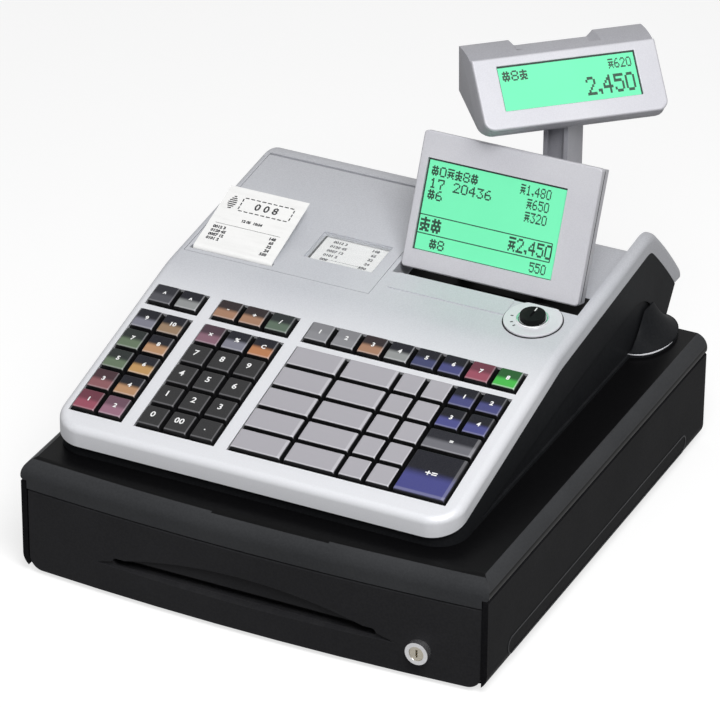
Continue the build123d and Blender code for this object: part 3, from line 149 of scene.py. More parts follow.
def mouldedFinish(name, look):
    # moulded plastic or lacquer: soft tone clouds, fine grain, rubbed streaks and dust on what faces up
    shader = newShader(name)
    fleck = paint(*look["fleck"])
    cloud = shader.noise(look["cloud"], 4)
    grain = shader.noise(look["grain"], 3)
    streak = shader.noise(160, 2, (1, 14, 1), (0, 0, 0.5)).band(0.66, 0.74)
    rubbed = streak * shader.noise(24, 3).band(0.5, 0.72)
    scuff = rubbed * look.get("scuff", 0.3)
    tone = shader.mixed(cloud.band(0.3, 0.7), paint(*look["colour"]), paint(*look["shade"]))
    if "front" in look:  # painted highlight: paler towards the front round the keys; painted shade: duller towards the rear edge
        length = shader.axis(shader.place(), 1)
        tone = shader.mixed(1 - length.band(-0.06, 0.0), tone, paint(*look["front"]))
        tone = shader.mixed(length.band(0.06, 0.2), tone, paint(*look["rear"]))
    speck = shader.noise(look["grain"] * 0.6, 1).band(0.35, 0.65)
    tone = shader.mixed(speck * look["speck"], tone, fleck)
    tone = shader.mixed(scuff, tone, fleck)
    facing = shader.axis(shader.node("ShaderNodeNewGeometry", out=1), 2)
    dust = facing.band(0.55, 0.95) * shader.noise(55, 5).band(0.45, 0.8) * look.get("dust", 0.0)
    tone = shader.mixed(dust, tone, paint(150, 148, 144))
    rough = look["rough"] + (cloud - 0.5) * 0.1 + scuff * 0.25 + dust * 0.4
    newFinish(shader, tone, rough, grain + rubbed * 0.3, look["depth"], look.get("metallic", 0.0),
              Specular_IOR_Level=look.get("specular", 0.5))


mouldings = {
    # front and rear colours: painted highlight near the keys and painted shade towards the rear edge
    "silverLacquer": {
        "colour": (194, 196, 201), "shade": (187, 189, 195), "fleck": (230, 232, 237),
        "front": (216, 217, 221), "rear": (178, 179, 184), "cloud": 9, "grain": 1500, "speck": 0.16,
        "rough": 0.46, "depth": 0.02, "metallic": 0.16, "scuff": 0.1, "specular": 0.3},
    "silverFrame": {
        "colour": (196, 196, 201), "shade": (190, 190, 196), "fleck": (228, 228, 234), "cloud": 14,
        "grain": 1600, "speck": 0.12, "rough": 0.42, "depth": 0.02, "metallic": 0.16, "scuff": 0.08,
        "specular": 0.3},
    # the head's silver, darker for its rear shell: painted shade on the top and sides turned from the light
    "headShadedSilver": {
        "colour": (164, 164, 169), "shade": (154, 154, 160), "fleck": (206, 206, 212), "cloud": 12,
        "grain": 1500, "speck": 0.12, "rough": 0.44, "depth": 0.02, "metallic": 0.16, "scuff": 0.08,
        "specular": 0.25},
    "plateWhite": {
        "colour": (216, 216, 220), "shade": (208, 208, 213), "fleck": (240, 240, 244), "cloud": 20,
        "grain": 1600, "speck": 0.12, "rough": 0.36, "depth": 0.02, "metallic": 0.12, "scuff": 0.08},
    "mastGrey": {
        "colour": (168, 168, 174), "shade": (158, 158, 165), "fleck": (206, 206, 212), "cloud": 14,
        "grain": 1400, "speck": 0.1, "rough": 0.42, "depth": 0.02, "metallic": 0.2, "scuff": 0.1},
    "casingBlack": {
        "colour": (30, 31, 33), "shade": (25, 26, 28), "fleck": (66, 67, 70), "cloud": 11, "grain": 900,
        "speck": 0.06, "rough": 0.46, "depth": 0.04, "scuff": 0.1, "dust": 0.02, "specular": 0.03},
    "drawerBlack": {
        "colour": (34, 34, 36), "shade": (29, 29, 31), "fleck": (70, 70, 72), "cloud": 10, "grain": 850,
        "speck": 0.06, "rough": 0.42, "depth": 0.04, "scuff": 0.12, "dust": 0.02, "specular": 0.08},
    "lidBlack": {
        "colour": (10, 10, 11), "shade": (8, 8, 9), "fleck": (46, 46, 49), "cloud": 8, "grain": 1100,
        "speck": 0.04, "rough": 0.3, "depth": 0.02, "scuff": 0.08, "specular": 0.05},
    # paler black that paints sheen: the drawer lid's front band and shoulders, and the side beads
    "paintedSheenBlack": {
        "colour": (50, 51, 53), "shade": (44, 45, 47), "fleck": (84, 85, 88), "cloud": 12, "grain": 900,
        "speck": 0.06, "rough": 0.4, "depth": 0.04, "scuff": 0.1, "specular": 0.1},
    "innerBlack": {
        "colour": (15, 15, 16), "shade": (11, 11, 12), "fleck": (44, 44, 46), "cloud": 18, "grain": 700,
        "speck": 0.06, "rough": 0.6, "depth": 0.05, "dust": 0.04, "specular": 0.08},
    "caseSteel": {
        "colour": (21, 21, 23), "shade": (17, 17, 19), "fleck": (60, 60, 62), "cloud": 10, "grain": 850,
        "speck": 0.06, "rough": 0.38, "depth": 0.04, "scuff": 0.12, "dust": 0.02, "specular": 0.015},
    "whiteNylon": {
        "colour": (222, 220, 212), "shade": (210, 208, 198), "fleck": (240, 240, 236), "cloud": 30,
        "grain": 800, "speck": 0.1, "rough": 0.5, "depth": 0.04, "dust": 0.1},
    "footRubber": {
        "colour": (34, 34, 34), "shade": (26, 26, 26), "fleck": (76, 74, 72), "cloud": 40, "grain": 500,
        "speck": 0.2, "rough": 0.82, "depth": 0.1, "scuff": 0.4},
}
for finishName, look in mouldings.items():
    mouldedFinish(finishName, look)


def sheetSteel(name, look):
    # zinc plate: spangle cells, drawn streaks and darker rubbed places
    shader = newShader(name)
    cells = {"Vector": shader.place(), "Scale": look["cells"]}
    spangle = shader.axis(shader.node("ShaderNodeTexVoronoi", values=cells, out=1), 0)
    streak = shader.noise(90, 3, look["drawn"])
    flake = spangle.band(0.1, 0.9) * look["spangle"]
    tone = shader.mixed(flake, paint(*look["colour"]), paint(*look["shade"]))
    grime = shader.noise(20, 5).band(0.5, 0.78) * look["grime"]
    tone = shader.mixed(grime, tone, paint(96, 90, 82))
    rough = look["rough"] + spangle * 0.08 + streak * 0.1 + grime * 0.25
    newFinish(shader, tone, rough, streak + spangle * 0.2, look["depth"], 0.95 - grime * 0.5)


steels = {
    "zincSteel": {
        "colour": (186, 188, 190), "shade": (150, 153, 158), "cells": 260, "spangle": 0.8, "drawn": (1, 1, 1),
        "grime": 0.3, "rough": 0.3, "depth": 0.03},
    "trayEnamel": {
        "colour": (120, 122, 126), "shade": (104, 106, 110), "cells": 500, "spangle": 0.3, "drawn": (6, 1, 1),
        "grime": 0.25, "rough": 0.38, "depth": 0.04},
    "brushedChrome": {
        "colour": (226, 226, 228), "shade": (200, 200, 204), "cells": 900, "spangle": 0.2,
        "drawn": (1, 1, 12), "grime": 0.08, "rough": 0.12, "depth": 0.015},
    "plugBrass": {
        "colour": (196, 190, 176), "shade": (170, 162, 146), "cells": 900, "spangle": 0.3,
        "drawn": (12, 1, 1), "grime": 0.12, "rough": 0.2, "depth": 0.02},
    "coreIron": {
        "colour": (92, 92, 96), "shade": (70, 70, 74), "cells": 400, "spangle": 0.5, "drawn": (1, 1, 40),
        "grime": 0.4, "rough": 0.45, "depth": 0.1},
}
for finishName, look in steels.items():
    sheetSteel(finishName, look)


def inkFinish(name, colour, rough):
    shader = newShader(name)
    spread = shader.noise(1800, 3)
    tone = shader.mixed(spread.band(0.4, 0.8) * 0.35, colour, paint(110, 112, 112))
    newFinish(shader, tone, rough + spread * 0.1, spread, 0.01)


# the dark green-black also serves as painted shadow round the screens
inks = {"crystalInk": ((8, 62, 40), 0.5), "printInk": ((22, 22, 27), 0.7), "gasketShadowDark": ((10, 40, 30), 0.6),
        "markWhite": ((238, 238, 238), 0.45)}
for finishName, (colour, rough) in inks.items():
    inkFinish(finishName, paint(*colour), rough)


def paperFinish():
    # thermal paper: slight fibre, faint long curl marks
    shader = newShader("thermalPaper")
    fibre = shader.noise(1400, 4, (1, 0.3, 1))
    marks = shader.noise(30, 3, (1, 6, 1)).band(0.45, 0.75)
    tone = shader.mixed(marks * 0.5 + fibre.band(0.3, 0.8) * 0.3, paint(244, 244, 243), paint(232, 232, 231))
    newFinish(shader, tone, 0.62 + fibre * 0.16, fibre, 0.03)


def rollFinish():
    # the wound edge of a paper roll: fine turns on its ends
    shader = newShader("rollPaper")
    turns = shader.node("ShaderNodeTexWave", {"wave_type": "RINGS", "rings_direction": "X"},
                        {"Vector": shader.place(), "Scale": 260, "Distortion": 0.6})
    tone = shader.mixed(turns.band(0.35, 0.9) * 0.3, paint(240, 240, 236), paint(206, 206, 200))
    newFinish(shader, tone, 0.7 + turns * 0.1, turns, 0.05)


def boardFinish():
    # green solder mask over copper tracks
    shader = newShader("solderMask")
    tracks = shader.node("ShaderNodeTexBrick", {"offset": 0.5}, {
        "Vector": shader.place(), "Scale": 90, "Mortar Size": 0.035, "Mortar Smooth": 0.4}, 1)
    weave = shader.noise(900, 2)
    tone = shader.mixed(tracks * 0.7, paint(22, 92, 52), paint(58, 132, 76))
    tone = shader.mixed(weave.band(0.4, 0.8) * 0.2, tone, paint(14, 70, 40))
    newFinish(shader, tone, 0.34 + weave * 0.12, tracks + weave * 0.2, 0.06)


mintGlass = {"glow": (124, 250, 190), "glowShade": (116, 244, 182), "strength": 0.22,
             "body": (112, 218, 168), "bodyShade": (106, 212, 162)}


def screenFinish():
    # lit crystal glass: a nearly even glow with faint clouds and a polariser's fine grain
    shader = newShader("mintGlass")
    grain = shader.noise(900, 2)
    cloud = shader.noise(14, 2).band(0.2, 0.8) * 0.5 + grain * 0.2
    lit = shader.mixed(cloud, paint(*mintGlass["glow"]), paint(*mintGlass["glowShade"]))
    body = shader.mixed(cloud, paint(*mintGlass["body"]), paint(*mintGlass["bodyShade"]))
    newFinish(shader, body, 0.3 + grain * 0.1, grain, 0.01, Emission_Color=lit,
              Emission_Strength=mintGlass["strength"], Specular_IOR_Level=0.1)


def paneFinish():
    # clear window with long wiped smears
    shader = newShader("clearPane")
    smear = shader.noise(30, 4, (1, 3, 1)).band(0.5, 0.8)
    tone = shader.mixed(smear * 0.4, paint(236, 240, 242), paint(250, 250, 250))
    newFinish(shader, tone, 0.06 + smear * 0.12, smear, 0.01, Alpha=0.1 + smear * 0.05)


def keyFinish():
    # printed key caps: tint holds each cap's colour, its alpha how dark the upper half is
    shader = newShader("keyCap")
    tint = shader.node("ShaderNodeAttribute", {"attribute_name": "tint"})
    shaded = shader.node("ShaderNodeAttribute", {"attribute_name": "tint"}, out=3)
    cap = shader.node("ShaderNodeUVMap", {"uv_map": "capUv"})
    up = shader.axis(cap, 1)
    across = shader.axis(cap, 0)
    tone = shader.mixed(up.band(0.36, 0.6) * shaded, tint, paint(18, 19, 28))
    # painted highlight along each cap's right and front edges, stronger on caps with more green
    paintedRimHighlight = (across.band(0.93, 0.95) + (1 - up.band(0.05, 0.08))) * (shader.axis(tint, 1) * 0.5 + 0.1)
    tone = shader.mixed(paintedRimHighlight, tone, paint(226, 225, 230))
    # sides painted near black: the caps' dark body together with painted shade under and between them
    skirt = 1 - (across.band(-0.01, 0.01) * (1 - across.band(0.99, 1.01)) * up.band(-0.01, 0.01)
                 * (1 - up.band(0.99, 1.01)))
    tone = shader.mixed(skirt, tone, paint(9, 9, 11))
    polish = shader.noise(120, 4).band(0.4, 0.75)
    grain = shader.noise(1500, 2)
    tone = shader.mixed(grain.band(0.35, 0.7) * 0.04, tone, paint(150, 149, 150))
    newFinish(shader, tone, 0.42 - polish * 0.12, grain, 0.02, Specular_IOR_Level=0.14)


for makeFinish in (paperFinish, rollFinish, boardFinish, screenFinish, paneFinish, keyFinish):
    makeFinish()
print("finishes:", len(finishes))


def linked(name, data):
    made = bpy.data.objects.new(name, data)
    scene.collection.objects.link(made)
    return made


def newPiece(name, mesh, body, material=None):  # no material: the mesh already has its own
    piece = linked(name, mesh)
    if material:
        mesh.materials.append(finishes[material])
    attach(piece, body)
    return piece


def plainMesh(holder):  # the evaluated result as a mesh of its own, the helper object removed
    graph = bpy.context.evaluated_depsgraph_get()
    mesh = bpy.data.meshes.new_from_object(holder.evaluated_get(graph), preserve_all_data_layers=True,
                                           depsgraph=graph)
    bpy.data.objects.remove(holder)
    return mesh


def rectangle(name, wide, high):  # one face, from its half sizes
    mesh = bpy.data.meshes.new(name)
    mesh.from_pydata([(-wide, -high, 0), (wide, -high, 0), (wide, high, 0), (-wide, high, 0)], [],
                     [(0, 1, 2, 3)])
    return mesh


def meshFrom(name, shape):
    mesh = bpy.data.meshes.new(name)
    shape.to_mesh(mesh)
    shape.free()
    return mesh


def placed(mesh, matrix):  # moves the mesh itself, so that its object stays at the origin
    mesh.transform(matrix)
    return mesh


def onPlane(origin, across, normal):  # a plane's own X, Y and normal as a matrix, origin in millimetres
    across, normal = Vector(across).normalized(), Vector(normal).normalized()
    facing = Matrix((across, normal.cross(across), normal)).transposed().to_4x4()
    return Matrix.Translation(Vector(origin) * mm) @ facing


def spot(u, v, w=0.0):
    return Matrix.Translation(Vector((u, v, w)) * mm)


def turned(angle):
    return Matrix.Rotation(radians(angle), 4, "Z")


def leaning(angle):
    return (0, -sin(radians(angle)), cos(radians(angle)))


def gathered(name, parts):  # one mesh from (mesh, matrix) pairs
    whole = bmesh.new()
    for mesh, matrix in parts:
        copy = placed(mesh.copy(), matrix)
        whole.from_mesh(copy)
        bpy.data.meshes.remove(copy)
    return meshFrom(name, whole)


def lettering(words, size, weight, align="CENTER"):
    curve = bpy.data.curves.new("words", "FONT")
    curve.body = words
    curve.size = size * mm
    curve.offset = weight * mm
    curve.align_x = align
    curve.align_y = "CENTER"
    curve.resolution_u = 2
    curve.fill_mode = "FRONT"
    return plainMesh(linked("words", curve))


def roundedRing(width, depth, corner, height, steps=3):
    points = []
    for quarter in range(4):
        sideX = 1 if quarter in (0, 3) else -1
        sideY = 1 if quarter in (0, 1) else -1
        for step in range(steps + 1):
            angle = (quarter + step / steps) * pi / 2
            points.append(((sideX * (width / 2 - corner) + corner * cos(angle)) * mm,
                           (sideY * (depth / 2 - corner) + corner * sin(angle)) * mm, height * mm))
    return points


def skinned(name, rings, closeBase=False, endless=False):
    # faces between rings of equal point counts, lowest ring first; endless joins the last to the first
    body = bmesh.new()
    loops = [[body.verts.new(point) for point in ring] for ring in rings]
    for low, high in zip(loops, loops[1:] + loops[:1] if endless else loops[1:]):
        for index in range(len(low)):
            after = (index + 1) % len(low)
            body.faces.new((low[index], low[after], high[after], high[index]))
    if not endless:
        body.faces.new(loops[-1])
    if closeBase:
        body.faces.new(list(reversed(loops[0])))
    if endless or closeBase:
        bmesh.ops.recalc_face_normals(body, faces=body.faces)
    return meshFrom(name, body)


def slab(name, width, depth, thick, corner=0.05, taper=0.0, closeBase=False):  # a rounded plate
    return skinned(name, [roundedRing(width, depth, corner, 0),
                          roundedRing(width - taper, depth - taper, corner - taper / 4, thick)], closeBase)


def turnedMesh(name, profile, steps, endless=False):  # rings round Z from (radius, height) pairs
    turns = [2 * pi * step / steps for step in range(steps)]
    rings = [[(radius * cos(turn) * mm, radius * sin(turn) * mm, height * mm) for turn in turns]
             for radius, height in profile]
    return skinned(name, rings, endless=endless)


def tube(name, inner, outer, low, high, steps):
    return turnedMesh(name, [(inner, low), (outer, low), (outer, high), (inner, high)], steps, endless=True)


def framed(name, width, depth, corner, wall, low, high, steps=3):  # a rounded frame of one wall width
    outer = (width, depth, corner)
    inner = (width - 2 * wall, depth - 2 * wall, max(corner - wall, 0.05))
    profile = ((outer, low), (outer, high), (inner, high), (inner, low))
    return skinned(name, [roundedRing(*size, height, steps) for size, height in profile], endless=True)


def bevelled(name, mesh, edge, even=False):  # broken edges, with shading weighted by face area where even
    holder = linked(name, mesh)
    bevel = holder.modifiers.new("edge", "BEVEL")
    bevel.width = edge * mm
    bevel.segments = 2
    bevel.limit_method = "ANGLE"
    bevel.angle_limit = radians(30)
    if even:
        holder.modifiers.new("even", "WEIGHTED_NORMAL").keep_sharp = True
    return plainMesh(holder)


def smoothed(mesh, angle):
    mesh.polygons.foreach_set("use_smooth", [True] * len(mesh.polygons))
    mesh.set_sharp_from_angle(angle=radians(angle))
    return mesh


def newTree(name, inputs):
    tree = bpy.data.node_groups.new(name, "GeometryNodeTree")
    tree.interface.new_socket("Geometry", in_out="OUTPUT", socket_type="NodeSocketGeometry")
    for label, kind in inputs:
        tree.interface.new_socket(label, in_out="INPUT", socket_type="NodeSocket" + kind)
    made = Board(tree)
    given = tree.nodes.new("NodeGroupInput")
    made.sockets = {label: Wire(made, given.outputs[label]) for label, kind in inputs}
    return made


def finishTree(made, geometry, material):
    solid = made.node("GeometryNodeRealizeInstances", values={0: geometry})
    coated = made.node("GeometryNodeSetMaterial", values={"Geometry": solid, "Material": material})
    made.tree.links.new(coated.socket, made.tree.nodes.new("NodeGroupOutput").inputs[0])
    return made.tree


def grown(name, tree, values, mesh=None):  # runs a tree and returns its result as a plain mesh
    holder = linked(name, mesh or bpy.data.meshes.new(name))
    modifier = holder.modifiers.new("grow", "NODES")
    modifier.node_group = tree
    for item in tree.interface.items_tree:
        if item.in_out == "INPUT" and item.name in values:
            modifier[item.identifier] = values[item.name]
    return plainMesh(holder)


def capBankTree():  # a grid of key caps
    made = newTree("capBank", [("Columns", "Int"), ("Rows", "Int"), ("Column Pitch", "Float"),
                               ("Row Pitch", "Float"), ("Cap", "Object"), ("Finish", "Material")])
    take = made.sockets
    grid = made.node("GeometryNodeMeshGrid", values={
        "Vertices X": take["Columns"], "Size X": (take["Columns"] - 1) * take["Column Pitch"],
        "Vertices Y": take["Rows"], "Size Y": (take["Rows"] - 1) * take["Row Pitch"]})
    cap = made.node("GeometryNodeObjectInfo", {"transform_space": "ORIGINAL"}, {"Object": take["Cap"]}, 4)
    caps = made.node("GeometryNodeInstanceOnPoints", values={"Points": grid, "Instance": cap})
    return finishTree(made, caps, take["Finish"])


def scatterTree():  # copies of one part on the points of a mesh, with a seeded spread of size and turn
    made = newTree("partScatter", [("Points", "Geometry"), ("Part", "Object"), ("Smallest", "Float"),
                                   ("Largest", "Float"), ("Turn", "Float"), ("Seed", "Int"),
                                   ("Finish", "Material")])
    take = made.sockets

    def spread(low, high):  # one value for each copy
        return made.node("FunctionNodeRandomValue", {"data_type": "FLOAT"},
                         {2: low, 3: high, "Seed": take["Seed"]}, 1)

    part = made.node("GeometryNodeObjectInfo", {"transform_space": "ORIGINAL"}, {"Object": take["Part"]}, 4)
    size = spread(take["Smallest"], take["Largest"])
    turn = made.node("ShaderNodeCombineXYZ", values={2: spread(0.0, take["Turn"])})
    copies = made.node("GeometryNodeInstanceOnPoints", values={
        "Points": take["Points"], "Instance": part, "Rotation": turn, "Scale": size})
    return finishTree(made, copies, take["Finish"])


capBank = capBankTree()
partScatter = scatterTree()


def scattered(name, part, points, material, turn=0.0, seed=1):
    holder = linked(name + "Part", part)
    spots = bpy.data.meshes.new(name)
    spots.from_pydata([Vector(point) * mm for point in points], [], [])
    result = grown(name, partScatter, {"Part": holder, "Smallest": 1.0, "Largest": 1.0, "Turn": turn,
                                       "Seed": seed, "Finish": finishes[material]}, spots)
    bpy.data.objects.remove(holder)
    return result


def dressed(node, slotName, material, edge):  # the frame's own shape with broken edges
    copy = nodes[node].data.copy()
    shape = bmesh.new()
    shape.from_mesh(copy)
    bmesh.ops.remove_doubles(shape, verts=shape.verts, dist=0.00001)
    bmesh.ops.dissolve_limit(shape, angle_limit=radians(0.6), verts=shape.verts, edges=shape.edges)
    shape.to_mesh(copy)
    shape.free()
    copy.materials.clear()
    copy.polygons.foreach_set("material_index", [0] * len(copy.polygons))
    copy.polygons.foreach_set("use_smooth", [True] * len(copy.polygons))
    mesh = smoothed(bevelled(node + "Shell", copy, edge, even=True), 32)
    piece = newPiece(node + "Shell", mesh, nodes[node]["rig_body"], material)
    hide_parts(node)
    return piece


shells = {  # slot, finish and edge radius of each node that gets a shell
    "drawer_case": ("black_metal", "caseSteel", 0.6),
    "drawer_top_cover": ("black_plastic", "lidBlack", 0.8),
    "drawer_front": ("black_plastic", "drawerBlack", 0.7),
    "base_case": ("black_plastic", "casingBlack", 0.7),
    "top_cover": ("silver_plastic", "silverLacquer", 0.5),
    "printer_cover": ("silver_plastic", "silverLacquer", 0.5),
    "display_bezel": ("silver_plastic", "silverFrame", 0.5),
    "display_shell": ("silver_plastic", "silverFrame", 0.5),
    "head_bezel": ("silver_plastic", "silverFrame", 0.6),
    "mast": ("silver_plastic", "mastGrey", 0.6),
    "mast_sleeve": ("black_plastic", "innerBlack", 0.3),
    "mode_plate": ("silver_plastic", "plateWhite", 0.6),
    "mode_rotor": ("black_plastic", "innerBlack", 0.3),
    "lock_bezel": ("lock_chrome", "brushedChrome", 0.3),
    "lock_cylinder": ("lock_chrome", "plugBrass", 0.2),
    "coin_tray": ("black_plastic", "casingBlack", 0.5),
    "drawer_tray": ("steel", "trayEnamel", 0.3),
    "journal_window": ("clear_pane", "clearPane", 0.15),
}
pieces = {node: dressed(node, *look) for node, look in shells.items()}
lid = pieces["drawer_top_cover"].data  # its front band and shoulders get a paler black than its top: a painted sheen where they catch the light
lid.materials.append(finishes["paintedSheenBlack"])
# faces picked by their normals for the painted sheen
band = {"frontY": -0.4, "flattestX": 0.25, "steepestX": 0.97}  # how the normals of these faces lie
for face in lid.polygons:
    shoulder = band["flattestX"] < abs(face.normal.x) < band["steepestX"]
    face.material_index = 1 if shoulder or face.normal.y < band["frontY"] else 0
print("shells:", len(pieces))

plainNodes = {  # nodes that keep their own shape, by finish
    "casingBlack": "bill_clip_1 bill_clip_2 bill_clip_3 bill_clip_4",
    "footRubber": "cord_gland journal_platen receipt_platen rubber_feet",
    "innerBlack": "display_bracket key_bed paper_guide",
    "zincSteel": "drawer_rails journal_printer latch_hook receipt_printer release_solenoid",
    "whiteNylon": "drawer_roller_left drawer_roller_right takeup_reel",
    "thermalPaper": "journal_paper receipt_paper",
    "rollPaper": "journal_roll receipt_roll",
    "gasketShadowDark": "display_lcd head_lcd",
    "solderMask": "main_board",
    "coreIron": "power_transformer",
}
for material, names in plainNodes.items():
    for node in names.split():
        mesh = nodes[node].data
        mesh.materials.clear()
        mesh.materials.append(finishes[material])
        mesh.polygons.foreach_set("material_index", [0] * len(mesh.polygons))

# planes of the casing and the displays, millimetres and degrees
casing = {"lipY": -206.7, "lipHeight": 129.0, "keyTilt": 14.2, "bendY": -8.7, "deckTilt": 6.3,
          "screenAt": (-10.1, 56.3, 186.1), "screenTilt": 67.3}
head = {"hub": (89.4, 153.3, 326.2), "turn": 42.5, "lean": 44.8, "forward": 26.4}
bendHeight = casing["lipHeight"] + (casing["bendY"] - casing["lipY"]) * tan(radians(casing["keyTilt"]))
keyPlane = onPlane((0, casing["lipY"], casing["lipHeight"]), (1, 0, 0), leaning(casing["keyTilt"]))
deckPlane = onPlane((0, casing["bendY"], bendHeight), (1, 0, 0), leaning(casing["deckTilt"]))
screenPlane = onPlane(casing["screenAt"], (1, 0, 0), leaning(casing["screenTilt"]))
headTurn, headLean = radians(head["turn"]), radians(head["lean"])
headSide = Vector((cos(headTurn), sin(headTurn), 0))
behindHead = Vector((-sin(headTurn), cos(headTurn), 0))
headOrigin = Vector(head["hub"]) - behindHead * head["forward"]
headPlane = onPlane(headOrigin, headSide, Vector((0, 0, sin(headLean))) - behindHead * cos(headLean))


def deckLength(y):
    return (y - casing["bendY"]) / cos(radians(casing["deckTilt"]))


# rear shell of the customer's display, with a carrying notch and a sloping lower edge
headShell = {"half": 78, "corner": 9, "notchHalf": 36, "flare": 5, "notchFront": 44, "notchLow": 24.6,
             "wall": 4, "low": -15, "high": 46, "chin": 16, "lip": 1.5, "chinRun": 53.7, "arch": (50, 33),
             "ridge": (66, 30), "tail": (64, -9), "edge": 0.7, "neck": (6, 13, -18, -8), "smooth": 34}


def onHeadSide(up, back):  # behind and above the screen's lower edge, from up its face and back from it
    return Vector((up * sin(headLean) + back * cos(headLean), up * cos(headLean) - back * sin(headLean)))


def arced(first, middle, last, steps):
    return [first * (1 - t) ** 2 + 2 * t * (1 - t) * middle + last * t ** 2
            for t in [step / steps for step in range(steps + 1)]]


def headRing(across, lift, notched):
    look = headShell
    ridge, tail = Vector(look["ridge"]), Vector(look["tail"])
    low = onHeadSide(look["low"] + lift, look["wall"])
    chin = onHeadSide(look["low"] - look["lip"], look["chin"])
    chin += (tail - chin) * lift / look["chinRun"]
    top = arced(onHeadSide(look["high"], look["wall"]), Vector(look["arch"]), ridge, 14)
    if notched:
        for place in top:
            if place.x > look["notchFront"]:
                place.y = look["notchLow"]
    outline = [low] + top + [tail] + arced(chin + (tail - chin) * 0.08, chin, chin + (low - chin) * 0.5, 4)
    start = headOrigin + headSide * across
    return [(start + behindHead * place.x + Vector((0, 0, place.y))) * mm for place in outline]


def headMesh():
    half, corner, notch = headShell["half"], headShell["corner"], headShell["notchHalf"]
    stations = [(half - corner * (1 - sin(radians(angle))), corner * (1 - cos(radians(angle))), False)
                for angle in (90, 78, 60, 40, 20, 0)]  # rounded end, then the notch
    stations += [(notch, 0, False), (notch - headShell["flare"], 0, True)]
    stations += [(-across, lift, notched) for across, lift, notched in reversed(stations)]
    shell = skinned("headRearShell", [headRing(*station) for station in stations], closeBase=True)
    shell = bevelled("headRearShell", shell, headShell["edge"])
    neck = tube("neck", *headShell["neck"], 48)
    whole = gathered("headRearShell", [(shell, spot(0, 0)), (neck, spot(*head["hub"]))])
    return smoothed(whole, headShell["smooth"])


# the rear shell takes the darker silver as painted shade
rearShell = newPiece("headRearShell", headMesh(), "customer_display", "headShadedSilver")
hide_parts("head_shell")

# trims: seam round the clerk's display, beads on the drawer's sides with a painted highlight, a thin black
# sheet as painted shadow in the bay, a pale trim as painted highlight under the lobe
seam = {"size": (156.5, 112.3), "corner": 3, "wall": 1.2, "from": -9.8, "to": -8.02, "at": (78.8, 56.7)}
seamRing = framed("displaySeam", *seam["size"], seam["corner"], seam["wall"], seam["from"], seam["to"])
newPiece("displaySeam", placed(seamRing, screenPlane @ spot(*seam["at"])), "clerk_display",
         "innerBlack")
bead = {"size": (357, 16), "corner": 7.9, "wall": 1.3, "sunk": -0.3, "proud": 0.32, "wallX": 205,
        "middle": (-16.2, 21)}
beads = []
for side in (-1, 1):
    ring = framed("bead", *bead["size"], bead["corner"], bead["wall"], bead["sunk"], bead["proud"], 6)
    beads.append((ring, onPlane((side * bead["wallX"], *bead["middle"]), (0, side, 0), (side, 0, 0))))
# the beads take the paler black as a painted highlight
newPiece("sideBeads", smoothed(gathered("sideBeads", beads), 40), "register", "paintedSheenBlack")
# a thin black sheet on the deck under the display's lower edge: painted shadow of the gap
bay = {"size": (157, 48), "thick": 0.3, "corner": 2, "x": 67.5, "y": 71, "low": -18.95}
bayShadowSheet = slab("bayLiner", *bay["size"], bay["thick"], bay["corner"], closeBase=True)
newPiece("bayLiner", placed(bayShadowSheet, deckPlane @ spot(bay["x"], deckLength(bay["y"]), bay["low"])), "register",
         "innerBlack")
lobe = {"centre": Vector((160, 175.3, 105)), "reach": 25.1, "half": 38.1, "from": -96, "to": -4, "steps": 32,
        "thick": 0.8, "thin": 0.1}


def lobeHighlightRing(share):  # a small ring square to the lobe's foot, thinner towards both ends: one section of the pale trim that paints the highlight there
    angle = radians(lobe["from"] + (lobe["to"] - lobe["from"]) * share)
    thick = lobe["thick"] * (lobe["thin"] + (1 - lobe["thin"]) * sin(pi * share))
    outward = Vector((cos(angle) / lobe["reach"], sin(angle) / lobe["half"], 0)).normalized()
    middle = lobe["centre"] + Vector((lobe["reach"] * cos(angle), lobe["half"] * sin(angle), 0))
    return [(middle + outward * thick * cos(turn) + Vector((0, 0, thick * sin(turn)))) * mm
            for turn in [pi * quarter / 4 for quarter in range(8)]]


# pale trim along the lobe's foot: a painted highlight, fading to both ends
rings = [lobeHighlightRing(step / lobe["steps"]) for step in range(lobe["steps"] + 1)]
paintedRimHighlight = skinned("lobeTrim", rings, closeBase=True)
newPiece("lobeTrim", smoothed(paintedRimHighlight, 40), "register", "plateWhite")
print("trims done")


# keyboard
keys = {"pitch": 23.7, "rowPitch": 25.3, "gap": 1.4, "firstRow": 16.5, "upperRow": 5, "upperMiddle": 161.75,
        "upperDepth": 24.5, "topShrink": 1.43, "legendHeight": 3.03,
        "cap": [(0.0, -6.0, 1.0), (0.55, -0.5, 1.0), (0.86, 2.2, 1.3), (1.0, 2.75, 1.4), (1.35, 3.0, 1.3),
                (2.1, 2.9, 1.0)]}  # inset, height and corner of each ring, foot first
capTones = {  # colour of the lower half and how dark the upper half is
    "rose": (146, 76, 92, 0.55), "mauve": (146, 106, 124, 0.55), "brick": (134, 88, 92, 0.8),
    "tan": (176, 136, 102, 1.0), "sage": (98, 114, 92, 0.9), "gold": (184, 144, 92, 1.0),
    "haze": (122, 122, 134, 1.0), "sand": (146, 122, 98, 1.0), "orange": (176, 120, 82, 1.0),
    "copper": (160, 122, 98, 0.95), "plum": (130, 96, 110, 0.75), "moss": (88, 104, 90, 0.9),
    "charcoal": (78, 78, 84, 0.8), "pale": (142, 144, 144, 1.0), "ash": (134, 134, 138, 0.15),
    "grey": (166, 164, 170, 0.0), "slate": (42, 42, 43, 0.0), "navy": (62, 66, 102, 1.0),
    "blue": (68, 70, 118, 1.0), "royal": (72, 74, 130, 1.0), "leaf": (70, 176, 74, 0.8),
    "smoke": (106, 106, 112, 0.95), "deep": (66, 68, 126, 1.0),
}
